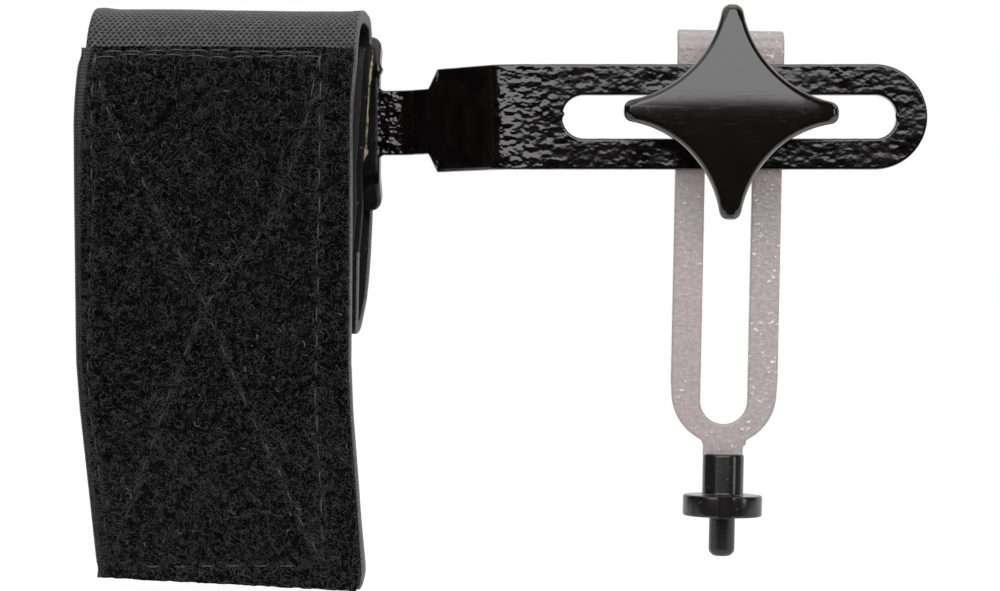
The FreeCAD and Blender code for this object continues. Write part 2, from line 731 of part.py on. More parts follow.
make_arm()
make_gauge_bracket()
make_feeler_tip()
make_clamp_bolt()
make_flat_washer()
make_spring_washer()
make_star_knob()
make_knob_bush()
make_strap()
doc.recompute()

NODES = ["arm", "gauge_bracket", "feeler_tip", "clamp_bolt", "flat_washer", "spring_washer",
         "star_knob", "knob_bush", "strap_web", "loop_panel", "hook_panel", "adhesive_film"]
for item in doc.Objects:
    if "Invalid" in item.State or "Error" in item.State:
        raise RuntimeError(f"{item.Name} failed: {item.State}")
os.makedirs("parts", exist_ok=True)
for name in NODES:
    shape = doc.getObjectsByLabel(name)[0].Shape
    if shape.isNull() or not shape.isValid():
        raise RuntimeError(f"{name} has no valid shape")
    shape.exportStep(f"parts/{name}.step")
    box = shape.BoundBox
    print(f"{name:14s} {len(shape.Solids)} solid {shape.Volume:9.1f} mm3  "
          f"X {box.XMin:7.2f} {box.XMax:7.2f}  Y {box.YMin:7.2f} {box.YMax:7.2f}  "
          f"Z {box.ZMin:7.2f} {box.ZMax:7.2f}")
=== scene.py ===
import math

import bpy
import numpy as np
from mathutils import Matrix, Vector


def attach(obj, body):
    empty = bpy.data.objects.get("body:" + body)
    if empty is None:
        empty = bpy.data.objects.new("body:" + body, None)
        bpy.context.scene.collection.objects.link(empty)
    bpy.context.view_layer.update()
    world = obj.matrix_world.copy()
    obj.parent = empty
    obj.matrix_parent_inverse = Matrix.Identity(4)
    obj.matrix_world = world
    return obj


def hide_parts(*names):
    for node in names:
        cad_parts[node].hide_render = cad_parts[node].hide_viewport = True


# Pocket wheel-truing gauge. Shapes are worked out in millimetres and put into the meshes in
# metres: X along the slotted arm, Y from the knob to the saddle, Z up.
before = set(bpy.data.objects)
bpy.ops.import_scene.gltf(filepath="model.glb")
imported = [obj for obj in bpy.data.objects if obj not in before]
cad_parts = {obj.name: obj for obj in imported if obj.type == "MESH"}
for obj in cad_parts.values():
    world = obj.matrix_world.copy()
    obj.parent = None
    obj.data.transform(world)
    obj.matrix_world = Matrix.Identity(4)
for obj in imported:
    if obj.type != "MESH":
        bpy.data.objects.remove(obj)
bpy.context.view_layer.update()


# ---- Studio: camera, backdrop, floor and lights
# A white surround and a pale floor. A large softbox stands above the camera, a smaller one
# hangs overhead and a strip light stands at the right. Black cards low in front and at both
# sides keep glossy black parts dark.

def linear(colour):
    """Hex sRGB to linear light: each channel / 12.92 below 0.04045, else a power of 2.4."""
    channels = [int(colour[k:k + 2], 16) / 255 for k in (1, 3, 5)]
    return [c / 12.92 if c < 0.04045 else ((c + 0.055) / 1.055) ** 2.4 for c in channels] + [1]


def add_node(tree, kind, sockets=(), stops=(), **settings):
    """One shader node with its settings. Its sockets go by name, or in order from the first,
    and get a number, a hex colour, an output or another node's first output. Stops are a
    ramp's places, each with a hex colour or a grey."""
    made = tree.nodes.new("ShaderNode" + kind)
    for name, value in settings.items():
        setattr(made, name, value)
    for name, value in sockets.items() if isinstance(sockets, dict) else enumerate(sockets):
        value = value.outputs[0] if isinstance(value, bpy.types.Node) else value
        if isinstance(value, bpy.types.NodeSocket):
            tree.links.new(value, made.inputs[name])
        else:
            made.inputs[name].default_value = linear(value) if isinstance(value, str) else value
    for k, (place, tone) in enumerate(stops):
        stop = made.color_ramp.elements[k] if k < 2 else made.color_ramp.elements.new(place)
        stop.position = place
        stop.color = linear(tone) if isinstance(tone, str) else (tone, tone, tone, 1)
    return made


camera = bpy.data.objects.new("bench_camera", bpy.data.cameras.new("bench_camera"))
camera.location = (0.0459, -0.6265, -0.03375)
camera.rotation_euler = (math.radians(90), 0, 0)
camera.data.lens = 114.48
camera.data.sensor_width = 36
camera.data.clip_start = 0.01
bpy.context.scene.collection.objects.link(camera)
bpy.context.scene.camera = camera
bpy.context.scene.view_settings.view_transform = "Standard"


def shown_directly(tree):
    """1 for rays that show the backdrop itself: from the eye, a mirror or clear glass."""
    rays = add_node(tree, "LightPath").outputs
    seen = add_node(tree, "Math", [rays["Is Camera Ray"], rays["Is Glossy Ray"]],
                    operation="MAXIMUM")
    return add_node(tree, "Math", [seen, rays["Is Transmission Ray"]], operation="MAXIMUM")


surround = bpy.data.worlds.new("white_surround")
bpy.context.scene.world = surround
surround.use_nodes = True
tree = surround.node_tree
tree.nodes.clear()
room = add_node(tree, "Background", ["#ffffff", 0.36])
white = add_node(tree, "Background", ["#ffffff", 1.0])
both = add_node(tree, "MixShader", [shown_directly(tree), room, white])
add_node(tree, "OutputWorld", [both])


def card(name, corners, finish):
    """Flat four-cornered stage piece."""
    mesh = bpy.data.meshes.new(name)
    mesh.from_pydata(corners, [], [(0, 1, 2, 3)])
    mesh.materials.append(finish)
    made = bpy.data.objects.new(name, mesh)
    bpy.context.scene.collection.objects.link(made)
    return made


def new_finish(name):
    """Empty node material, its tree, and the place on the object that textures follow."""
    finish = bpy.data.materials.new(name)
    finish.use_nodes = True
    finish.node_tree.nodes.clear()
    return finish, finish.node_tree, add_node(finish.node_tree, "TexCoord").outputs["Object"]


FLOOR_LEVEL = -0.0906
paper, tree, where = new_finish("pale_paper")
matt = add_node(tree, "BsdfDiffuse", ["#f6f6f5"])
lit = add_node(tree, "Emission", ["#ffffff", 1.2])
share = add_node(tree, "Math", [shown_directly(tree), 0.76], operation="MULTIPLY")
add_node(tree, "OutputMaterial", [add_node(tree, "MixShader", [share, matt, lit])])
card("floor", [(x, y, FLOOR_LEVEL) for x, y in ((-2, -2), (2, -2), (2, 2), (-2, 2))], paper)

black_felt, tree, where = new_finish("black_felt")
add_node(tree, "OutputMaterial", [add_node(tree, "BsdfDiffuse", ["#050505"])])
for name, corners in {
    "card_front": [(-2, -1.3, -0.09), (2, -1.3, -0.09), (2, -1.3, 0.12), (-2, -1.3, 0.12)],
    "card_low": [(-1.5, -1.3, -0.09), (1.5, -1.3, -0.09), (1.5, -0.06, -0.09),
                 (-1.5, -0.06, -0.09)],
    "card_left": [(-1.2, -1.3, -0.09), (-1.2, 0.9, -0.09), (-1.2, 0.9, 1.2),
                  (-1.2, -1.3, 1.2)],
    "card_right": [(1.0, -1.3, -0.09), (1.0, 0.3, -0.09), (1.0, 0.3, 1.2), (1.0, -1.3, 1.2)],
}.items():
    made = card(name, corners, black_felt)
    for rays in ("camera", "diffuse", "transmission", "shadow", "volume_scatter"):
        setattr(made, "visible_" + rays, False)

for name, width, height, power, place, aim in (
        ("softbox", 1.9, 0.84, 13.0, (-0.17, -1.025, 0.522), (-0.17, 0, 0)),
        ("overhead", 1.0, 1.0, 4.0, (0.05, 0.1, 1.3), (0.05, 0, 0)),
        ("strip", 0.13, 0.7, 1.7, (0.93, -0.47, -0.03), (0.09, -0.02, -0.03))):
    lamp = bpy.data.objects.new(name, bpy.data.lights.new(name, "AREA"))
    lamp.data.shape = "RECTANGLE"
    lamp.data.size, lamp.data.size_y = width, height
    lamp.data.energy = power
    lamp.location = place
    lamp.rotation_euler = (Vector(aim) - lamp.location).to_track_quat("-Z", "Y").to_euler()
    lamp.visible_camera = False
    bpy.context.scene.collection.objects.link(lamp)


# ---- Slotted arm
# 3 mm mild-steel strip, blanked to outline with a long slot, then bent twice so that it
# stands forward of the fork leg. Its cut edges are softened by thick black hammer enamel.

SHEET = 3.0
EDGE = 0.45                  # rounding that the enamel leaves on a cut edge
ACROSS = 27                  # points across each half of a slotted sheet's face
ARM_HALF, ARM_END, ARM_FACE = 10.0, 126.65, -26.5
SLOT_LEFT, SLOT_RIGHT, SLOT_HALF = 57.7, 120.8, 4.05
NECK_HALF, NECK_START, NECK_BEND = 6.35, 21.9, 27.0
SADDLE_END = 22.38           # the neck meets the saddle's right end in a 1 mm fillet
SHOULDER, SHOULDER_RUN = 33.7, 1.7
YAW, BEND = math.radians(6.0), math.radians(48.9)
BEND_INNER, BEND_OUTER = 2.5, 5.5
QUARTER = math.pi / 2


def turns_of(count):
    """So many angles, evenly round a circle."""
    return np.arange(count) * 2 * math.pi / count


def tube_faces(rows, ring, cap=np.zeros((0, 4), int)):
    """Corner numbers of the squares between rings of points, each closed round, and of a cap
    on the first ring, turned over on the last."""
    row, column = np.arange(rows - 1)[:, None] * ring, np.arange(ring)
    after = (column + 1) % ring
    squares = np.stack([row + column, row + after, row + ring + after, row + ring + column], -1)
    return np.concatenate([squares.reshape(-1, 4), cap, cap[:, ::-1] + (rows - 1) * ring])


def end_faces(ring):
    """Squares that close a ring's end: point k faces the point as far from the ring's end."""
    k = np.arange((ring - 1) // 2)
    return np.stack([k, k + 1, ring - 2 - k, ring - 1 - k], -1)


def cap_faces(across, ring):
    """Squares that close a ring of two faces, of so many points each, and two edges."""
    edge = ring // 2 - across
    right = ring - edge
    return np.concatenate([end_faces(right), [[0, right - 1, right, ring - 1]],
                           end_faces(edge) + right])


def outward(points, triangles):
    """The triangles, turned over where the shell's signed volume is negative. That volume is
    the sum of the corners' triple products over six."""
    a, b, c = (points[triangles[:, k]] for k in range(3))
    return triangles if (a * np.cross(b, c)).sum() > 0 else triangles[:, ::-1]


def weld(points, faces):
    """Outward triangles over the merged points: each square is halved, points that round to
    the same thousandth of a millimetre become one, and triangles with two equal corners are
    dropped. Also gives each triangle's square and the first point of each merge."""
    points = points.reshape(-1, 3)
    triangles = np.concatenate([faces[:, [0, 1, 2]], faces[:, [0, 2, 3]]])
    square = np.tile(np.arange(len(faces)), 2)
    first, merged = np.unique(np.round(points, 3) + 0.0, axis=0, return_index=True,
                              return_inverse=True)[1:]
    triangles = merged.reshape(-1)[triangles]
    whole = (triangles != np.roll(triangles, 1, axis=1)).all(1)
    used, triangles = np.unique(triangles[whole], return_inverse=True)
    points = points[first][used]
    return points, outward(points, triangles.reshape(-1, 3)), square[whole], first[used]


def tube(rings, *cap):
    """Points and outward triangles of the tube through rings of points, with any cap."""
    return weld(rings, tube_faces(*rings.shape[:2], *cap))[:2]


def raised(points, triangles, height):
    """The points moved out by their heights along their normals. A normal is the sum of the
    area normals of the triangles round it, made length one."""
    a, b, c = (points[triangles[:, k]] for k in range(3))
    total = np.zeros_like(points)
    for k in range(3):
        np.add.at(total, triangles[:, k], np.cross(b - a, c - a))
    size = np.maximum(np.linalg.norm(total, axis=1, keepdims=True), 1e-12)
    return points + total / size * height[:, None]


def make_piece(name, points, triangles, finishes, finish_of=None, pattern=None):
    """Mesh object with its place in its vertices, which go from millimetres to metres. The
    pattern is two numbers a point, kept as the mesh's UV map."""
    mesh = bpy.data.meshes.new(name)
    mesh.from_pydata((points * 0.001).tolist(), [], triangles.tolist())
    mesh.polygons.foreach_set("use_smooth", np.ones(len(triangles), bool))
    for finish in finishes:
        mesh.materials.append(finish)
    if pattern is not None:
        mesh.polygons.foreach_set("material_index", finish_of.astype(np.int32))
        layer = mesh.uv_layers.new(name="pattern")
        layer.data.foreach_set("uv", pattern[triangles].reshape(-1).astype(np.float32))
    mesh.update()
    made = bpy.data.objects.new(name, mesh)
    bpy.context.scene.collection.objects.link(made)
    return made


def cloud(points, size, seed):
    """Smooth random height from -1 to 1: lattice corners, size apart, have random heights,
    and a point blends its eight corners with weights 3t^2 - 2t^3 along each axis."""
    table = np.random.default_rng(seed).uniform(-1, 1, 4096)
    cell = np.floor(points / size).astype(np.int64)
    blend = points / size - cell
    blend = blend * blend * (3 - 2 * blend)
    total = np.zeros(len(points))
    for corner in np.ndindex(2, 2, 2):
        mix = (cell + corner) * (73856093, 19349663, 83492791)
        total += (np.where(corner, blend, 1 - blend).prod(1)
                  * table[(mix[:, 0] ^ mix[:, 1] ^ mix[:, 2]) % 4096])
    return total


def hammered(points, stretch, size, depth, seed):
    """Height of hammer enamel: clouds of two sizes, drawn out along one axis by the stretch,
    with their lows folded up so that lumps meet in narrow valleys."""
    drawn = points / np.array(stretch)
    folded = 1 - 2 * np.abs(cloud(drawn, size, seed))
    return depth * (0.65 * folded + 0.35 * cloud(drawn, size * 0.55, seed + 1))


def lump(points, centre, height, radius):
    """Height of a single round lump: a bell curve of the distance from its centre."""
    return height * np.exp(-(((points - np.array(centre)) / radius) ** 2).sum(1))


def pair(x, y):
    """Points from two rows of numbers, either of which may be a single number."""
    return np.stack(np.broadcast_arrays(x, y), -1)


def way(turn):
    """Unit steps: along the second axis at a turn of 0, along the first at a quarter turn."""
    return pair(np.sin(turn), np.cos(turn))


def arc(centre, radius, turn):
    """Points at a radius from a centre, at those turns."""
    return np.array(centre) + radius * way(turn)


def drawn_in(radius, gap):
    """How far a rounded end is drawn in at a gap from it: the radius less the height of a
    quarter circle, the square root of radius^2 - (radius - gap)^2."""
    return radius - np.sqrt(np.clip(radius ** 2 - np.clip(radius - gap, 0, None) ** 2, 0, None))


def round_steps(radius, count):
    """Gaps from a rounded end that follow its quarter circle evenly, from 0 to the radius."""
    return radius * (1 - np.cos(np.linspace(0, QUARTER, count)))


def edge_points(radius, thick, steps, between=()):
    """Inset and depth of the points round a cut edge: a quarter circle in so many steps,
    places between, and a quarter circle back."""
    bow = np.linspace(0, QUARTER, steps + 1)[1:]
    inset, depth = radius * (1 - np.sin(bow)), radius * (1 - np.cos(bow))
    return (np.concatenate([inset, np.zeros(len(between)), inset[::-1]]),
            np.concatenate([depth, between, thick - depth[::-1]]))


def slotted_sheet(place, outer, outer_way, inner, inner_way, solid, nip, sheet, middle, side):
    """A slotted sheet from the matching edge points of one half. A ring runs over the front
    between an inner and an outer point, round the outer edge, back over the rear and round
    the inner edge; place(along, across, depth) gives its solid points. Solid rings leave out
    the inner wall and are closed at the sheet's ends, and nip draws a ring in at a rounded
    end. The other half is the mirror image in the plane through middle and square to side."""
    inset, depth = edge_points(EDGE, sheet, 4,
                               EDGE + (sheet - 2 * EDGE) * np.linspace(0, 1, 7)[1:-1])
    far = outer[:, None] - outer_way[:, None] * (inset[:, None] + nip[:, None, None])
    near = inner[:, None] - inner_way[:, None] * inset[:, None]
    low = inner - inner_way * EDGE
    high = outer - outer_way * (EDGE + nip[:, None])
    face = low[:, None] + (high - low)[:, None] * np.linspace(0, 1, ACROSS)[:, None]
    flat = np.concatenate([face, far, face[:, ::-1], near[:, ::-1]], 1)
    deep = np.concatenate([np.zeros(ACROSS), depth, np.full(ACROSS, sheet), depth[::-1]])
    deep = nip[:, None] + deep * (sheet - 2 * nip[:, None]) / sheet
    points = place(flat[..., 0], flat[..., 1], deep).reshape(-1, 3)
    ring, right = flat.shape[1], 2 * ACROSS + len(depth)
    faces = tube_faces(len(outer), ring)
    row, column = faces[:, 0] // ring, faces[:, 0] % ring
    faces = faces[(column < right - 1) | ~(solid[row] & solid[row + 1])]
    cap = end_faces(right)
    faces = np.concatenate([faces, cap, cap[:, ::-1] + (len(outer) - 1) * ring if solid[-1]
                            else cap[:0]])
    side = np.array(side)
    other = points - 2 * ((points - np.array(middle)) @ side)[:, None] * side
    return weld(np.concatenate([points, other]),
                np.concatenate([faces, faces[:, ::-1] + len(points)]))[:2]


def arm_faces():
    """Front and rear face lines in plan, from the neck over both bends to the arm's end: two
    straight runs and two arcs about the bend centres, read as depth against length."""
    neck = NECK_BEND * np.array([math.cos(YAW), -math.sin(YAW)]) - SHEET * way(YAW)
    first = neck - BEND_INNER * way(YAW)
    ramp = first + BEND_INNER * way(BEND)
    length = (ramp[1] - ARM_FACE - BEND_OUTER * (1 - math.cos(BEND))) / math.sin(BEND)
    second = (ramp[0] + BEND_OUTER * math.sin(BEND) + length * math.cos(BEND),
              ARM_FACE + BEND_OUTER)
    back, on = np.linspace(YAW, BEND, 25), np.linspace(math.pi + BEND, math.pi, 25)
    front = np.concatenate([[-SHEET * way(YAW)], arc(first, BEND_INNER, back),
                            arc(second, BEND_OUTER, on), [[ARM_END + 1, ARM_FACE]]])
    rear = np.concatenate([[(0.0, 0.0)], arc(first, BEND_OUTER, back),
                           arc(second, BEND_INNER, on), [[ARM_END + 1, ARM_FACE + SHEET]]])
    return front, rear


arm_front, arm_rear = arm_faces()


def on_arm(along, across, depth):
    """Solid point of the arm: X and Z as on the blank, and Y between the two face lines."""
    front = np.interp(along, arm_front[:, 0], arm_front[:, 1])
    rear = np.interp(along, arm_rear[:, 0], arm_rear[:, 1])
    return np.stack([along, front + (rear - front) * depth / SHEET, across], -1)


def arm_columns():
    """Matching edge points of the arm's upper half, neck first: along the solid part the inner
    point is on the centre line, then it follows the slot's round end, its straight side and
    its other end, while the outer one follows neck, shoulder, side and round end."""
    left, right, centre = SLOT_LEFT + SLOT_HALF, SLOT_RIGHT - SLOT_HALF, ARM_END - ARM_HALF
    step = 0.36
    start = np.append(np.arange(NECK_START, SLOT_LEFT - EDGE, step), SLOT_LEFT - EDGE)
    entry = np.linspace(-QUARTER, 0, 13)
    straight = np.arange(left, right, step)[1:]
    turn = np.linspace(0, QUARTER, 34)
    x = np.concatenate([start, left + (SLOT_HALF + EDGE) * np.sin(entry[1:]), straight])
    width = np.interp(x, [SHOULDER - SHOULDER_RUN, SHOULDER], [NECK_HALF, ARM_HALF])
    slope = np.where((x > SHOULDER - SHOULDER_RUN) & (x < SHOULDER),
                     math.atan2(ARM_HALF - NECK_HALF, SHOULDER_RUN), 0)
    outer = np.concatenate([pair(x, width + drawn_in(1.0, x - SADDLE_END)),
                            arc((centre, 0), ARM_HALF, turn)])
    inner = np.concatenate([pair(start[:-1], 0), arc((left, 0), SLOT_HALF, entry),
                            pair(straight, SLOT_HALF), arc((right, 0), SLOT_HALF, turn)])
    inner_way = -np.concatenate([np.zeros((len(start) - 1, 2)), way(entry), way(0 * straight),
                                 way(turn)])
    solid = np.arange(len(outer)) < len(start)
    return (outer, np.concatenate([way(-slope), way(turn)]), inner, inner_way, solid,
            np.zeros(len(outer)))


def surface(tree, sockets, *reliefs):
    """Principled surface with these sockets, to the output. A relief is a height, its real
    distance in metres and its strength, and lies over the relief before it."""
    bump = {}
    for height, distance, strength in reliefs:
        bump = {"Normal": add_node(tree, "Bump", {"Height": height, "Distance": distance,
                                                  "Strength": strength, **bump})}
    add_node(tree, "OutputMaterial", [add_node(tree, "BsdfPrincipled", {**sockets, **bump})])


def grained(name, scale, stops, sockets, distance, strength, detail=4.0):
    """Finish of one noise, which gives its tone by a ramp's stops, and its relief."""
    finish, tree, where = new_finish(name)
    grain = add_node(tree, "TexNoise", {"Vector": where, "Scale": scale, "Detail": detail})
    surface(tree, {"Base Color": add_node(tree, "ValToRGB", [grain], stops), **sockets},
            (grain, distance, strength))
    return finish


def hammer_enamel(name, tones, gloss, height, places, factors):
    """Sprayed silicone-flow enamel: soft lumps 1.2 mm high and 1.6 mm long, whose upper sides
    catch the light as separate flecks. Their height changes by the factors at the places
    along X."""
    finish, tree, where = new_finish(name)
    drawn = add_node(tree, "Mapping", {"Vector": where, "Scale": (1 / 1.35, 1, 1)})
    lumps = add_node(tree, "TexNoise", {"Vector": drawn, "Scale": 820.0, "Detail": 1.0,
                                        "Roughness": 0.4})
    ripple = add_node(tree, "TexNoise", {"Vector": where, "Scale": 2400.0})
    tone = add_node(tree, "TexNoise", {"Vector": where, "Scale": 240.0})
    along = add_node(tree, "MapRange", [add_node(tree, "SeparateXYZ", [where]), places[0],
                                        places[-1]])
    shares = [(place - places[0]) / (places[-1] - places[0]) for place in places]
    amount = add_node(tree, "ValToRGB", [along], list(zip(shares, factors)))
    surface(tree, {
        "Base Color": add_node(tree, "ValToRGB", [tone], [(0.35, tones[0]), (0.7, tones[1])]),
        "Roughness": add_node(tree, "MapRange", [tone, 0.3, 0.7, *gloss]), "IOR": 1.58},
        (ripple, 0.00003, 0.4), (lumps, height, amount))
    return finish


# Near-black, and glossy. It lies thin and smooth over the slope between the bends, and its
# lumps are tallest just past the second bend, where it ran together.
enamel = hammer_enamel("black_hammer_enamel", ("#070505", "#100c0c"), (0.1, 0.16), 0.0004,
                       (0.02, 0.0285, 0.0292, 0.0440, 0.0452, 0.0475, 0.0515, 0.0570, 0.127),
                       (1.0, 1.0, 0.02, 0.02, 0.56, 0.82, 0.64, 0.3, 0.25))

points, triangles = slotted_sheet(on_arm, *arm_columns(), SHEET, (0, 0, 0), (0, 0, 1))
# The coat lies just below the sheet's nominal face, so that the washer slides clear of it.
points = raised(points, triangles, hammered(points, (1.4, 1.0, 1.0), 2.4, 0.035, 11) - 0.06)
# The blank took a slight twist where it comes out of the second bend.
points[:, 1] += 0.03 * points[:, 2] * np.exp(-((points[:, 0] - 47.6) / 2.6) ** 2)
# Two runs in the enamel, one at each end of the slot.
points[:, 0] += (lump(points, (57.6, -26.3, 0.4), 0.55, 0.4)
                 - lump(points, (120.9, -26.0, 0.1), 0.32, 0.6))
arm_plate = make_piece("arm_plate", points, triangles, [enamel])
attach(arm_plate, "arm_body")
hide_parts("arm")


# ---- Saddle
# Trough of the same sheet across the end of the neck, its two long sides bent back so that
# it sits on a round fork leg. The strap is glued to its front.

SADDLE_HALF, SADDLE_FLAT, WING_TIP, WING_CORNER = 22.75, 9.9, 17.2, 2.2
WING, WING_INNER = math.radians(30), 1.5
SADDLE_ACROSS = 91


def on_saddle(along, depth, height):
    """Point in the saddle's turned frame to the part's own: a turn by the yaw about Z."""
    return np.stack([along * math.cos(YAW) + depth * math.sin(YAW),
                     depth * math.cos(YAW) - along * math.sin(YAW), height], -1)


def saddle_rings():
    """Rings along the saddle, one for each place up its section: flat, arc, flat wing. The
    half-length falls off as a quarter circle at the wing's corners, and at the wing's edge
    the ring is nipped in as a quarter circle too."""
    middle_radius = WING_INNER + SHEET / 2
    wing = (WING_TIP - SADDLE_FLAT - (WING_INNER + SHEET) * math.sin(WING)) / math.cos(WING)
    bend = middle_radius * WING
    half = SADDLE_FLAT + bend + wing
    up = np.concatenate([half - round_steps(EDGE, 6), np.arange(half - EDGE, 0, -0.5)[1:]])
    up = np.concatenate([-up, up[::-1]])
    size = np.abs(up)
    turned = np.clip((size - SADDLE_FLAT) / middle_radius, 0, WING)
    beyond = np.clip(size - SADDLE_FLAT - bend, 0, None)
    depth = WING_INNER - middle_radius * np.cos(turned) + beyond * math.sin(WING)
    height = (np.minimum(size, SADDLE_FLAT) + middle_radius * np.sin(turned)
              + beyond * math.cos(WING)) * np.sign(up)
    nip = drawn_in(EDGE, half - size)[:, None]
    length = (SADDLE_HALF - drawn_in(WING_CORNER, half - size))[:, None] - nip * 0.3
    inset, deep = edge_points(EDGE, SHEET, 4, [SHEET * 0.4, SHEET * 0.6])
    face = (length - EDGE) * np.linspace(-1, 1, SADDLE_ACROSS)
    along = np.concatenate([face, length - inset, face[:, ::-1], inset[::-1] - length], 1)
    deep = np.concatenate([np.zeros(SADDLE_ACROSS), deep, np.full(SADDLE_ACROSS, SHEET),
                           deep[::-1]])
    off = (deep - SHEET / 2) * (SHEET - 2 * nip) / SHEET
    turned = (turned * np.sign(up))[:, None]
    return on_saddle(along, depth[:, None] + off * np.cos(turned),
                     height[:, None] - off * np.sin(turned))


rings = saddle_rings()
points, triangles = tube(rings, cap_faces(SADDLE_ACROSS, rings.shape[1]))
points = raised(points, triangles, hammered(points, (1.0, 1.0, 1.4), 3.6, 0.05, 17))
# A sag in the enamel on the upper right wing's edge.
points = raised(points, triangles, lump(points, (22.6, -4.4, 10.4), 0.75, 0.9))
# The same enamel, thicker and less glossy: its lumps have flowed almost level.
thick_enamel = hammer_enamel("thick_black_enamel", ("#060505", "#0d0b0b"), (0.16, 0.26), 0.00005,
                             (-0.02, 0.02, 0.0215, 0.024), (0.5, 0.3, 0.3, 0.8))
saddle_plate = make_piece("saddle_plate", points, triangles, [thick_enamel])
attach(saddle_plate, "arm_body")


# ---- Strap
# One length of rubber-cored webbing, 52 mm wide: a woven face over a 2 mm black core whose
# cut edges show. It is hemmed at both ends, glued up the saddle's front, and carried over
# the top and down in front.

STRAP_HALF, WEB_HALF = 26.0, 1.15
GLUE, HOOK_TAPE, LOOP_TAPE = 0.5, 0.6, 1.8
WEB_DEPTH = -SHEET - GLUE - WEB_HALF
WING_RADIUS = WING_INNER + SHEET + GLUE + WEB_HALF


def bow_of(radius, turn):
    """A run that turns by that many degrees at that radius."""
    return (math.radians(abs(turn)) * radius, turn)


TUCKED = [(3.5, 0), bow_of(20.0, -14.0), (17.8, 0), bow_of(2.66, -166.0)]
OVER_TOP = [bow_of(4.0, 112.0), bow_of(33.0, 18.0), bow_of(10.0, 42.0), bow_of(24.0, 15.0),
            bow_of(24.0, 30.0)]
DOWN_FRONT = [(40.0, 0), (45.3, -2.0)]
LONG_HEM = [bow_of(1.3, 180.0), (28.0, 0)]


def follow(start, heading, runs, step=0.02):
    """Line through runs of a length and a turn: the heading grows evenly along each run, and
    the place is the running sum of the heading's cosine and sine."""
    ends = np.cumsum([0.0] + [length for length, turn in runs])
    headings = heading + np.cumsum([0.0] + [turn for length, turn in runs])
    distance = np.linspace(0, ends[-1], int(ends[-1] / step) + 1)
    angle = np.radians(np.interp(distance, ends, headings))
    gap = distance[1] - distance[0]
    middle = (angle[1:] + angle[:-1]) / 2
    depth = start[0] + np.concatenate([[0], np.cumsum(np.cos(middle))]) * gap
    height = start[1] + np.concatenate([[0], np.cumsum(np.sin(middle))]) * gap
    return distance, depth, height, np.degrees(angle)


def run_length(runs):
    """Total length of the runs."""
    return sum(length for length, turn in runs)


tucked = follow((0, -12.5), -90.0, TUCKED)
UP_SADDLE = [(SADDLE_FLAT - tucked[2][-1], 0), bow_of(WING_RADIUS, -30.0), (1.0, 0)]
TO_FRONT = TUCKED + UP_SADDLE + OVER_TOP + DOWN_FRONT
tail_end = (WEB_DEPTH - tucked[1][-1], -12.5)
strap_line = follow(tail_end, -90.0, TO_FRONT + LONG_HEM)

fold_end = run_length(TUCKED)
flat_end = fold_end + run_length(UP_SADDLE[:1])
flat_start = flat_end - 19.2
saddle_end = fold_end + run_length(UP_SADDLE)
loop_start = saddle_end + run_length(OVER_TOP[:4])
loop_top = loop_start - 1.2
front_start = saddle_end + run_length(OVER_TOP)
long_end = front_start + run_length(DOWN_FRONT)
web_end = long_end + run_length(LONG_HEM)

# How the strap strays from its line as it goes along: sideways, in roll and in turn.
SIDEWAYS = [(0.0, -5.8), (13.0, -6.0), (18.3, -6.2), (22.2, -6.4), (26.2, -7.05), (29.5, -7.7),
            (fold_end, -7.2), (fold_end + 12.0, -7.0), (flat_start - 7.0, -6.2),
            (flat_start, -6.4), (flat_start + 12.0, -5.5), (saddle_end, -4.8),
            (saddle_end + 4.2, -4.8), (loop_start, -4.25), (front_start, -4.85),
            (front_start + 45.0, -5.8), (front_start + 54.0, -5.5), (long_end, -3.3),
            (long_end + 2.2, -3.4), (web_end, -5.9)]
ROLLED = [(0.0, 0.0), (saddle_end, 0.0), (saddle_end + 8.0, -0.8), (front_start, -0.4),
          (front_start + 40.0, 0.0), (long_end, -2.1), (web_end, -2.1)]
TURNED = [(0.0, 0.0), (front_start + 40.0, 0.0), (long_end, 4.0), (web_end, 1.9)]
NARROWED = [(0.0, 0.0), (front_start + 15.0, 0.0), (long_end, 0.25), (web_end, 0.1)]


def at(table, distance):
    """The table's value at each distance, straight between its places."""
    return np.interp(distance, *zip(*table))


def bell(value, middle, width):
    """1 at the middle, falling off on both sides as a bell curve of that width."""
    return np.exp(-((value - middle) / width) ** 2)


def on_strap(distance, side, out, line=None):
    """Point of the strap: distance along it, side millimetres right of its middle line and
    out millimetres towards its outer face, by adding those two offsets to the line's point.
    The tape's left edge is pulled in a little at its two corners, and its lower right corner
    is rounded off."""
    distance, side, out = np.broadcast_arrays(distance, side, out)
    line = strap_line if line is None else line
    depth, height, heading = (np.interp(distance, line[0], values) for values in line[1:])
    side = side - np.sign(side) * np.minimum(at(NARROWED, distance), np.abs(side) * 0.02)
    side = side + (0.5 * bell(distance, loop_top, 1.8) + 0.45 * bell(
        distance, long_end + 2, 2.0)) * np.clip(-25.9 - side, 0, 1)
    side = side - 1.1 * bell(distance, long_end + 2, 1.9) * np.clip((side - 22) / 4, 0, 1) ** 2
    turned = YAW + np.radians(at(TURNED, distance))
    rolled = np.radians(at(ROLLED, distance))
    angle = np.radians(heading)
    across = np.stack([np.cos(turned) * np.cos(rolled), -np.sin(turned) * np.cos(rolled),
                       np.sin(rolled)], -1)
    facing = np.stack([np.sin(turned) * np.sin(angle), np.cos(turned) * np.sin(angle),
                       -np.cos(angle)], -1)
    return (on_saddle(at(SIDEWAYS, distance), depth, height) + across * side[..., None]
            + facing * out[..., None])


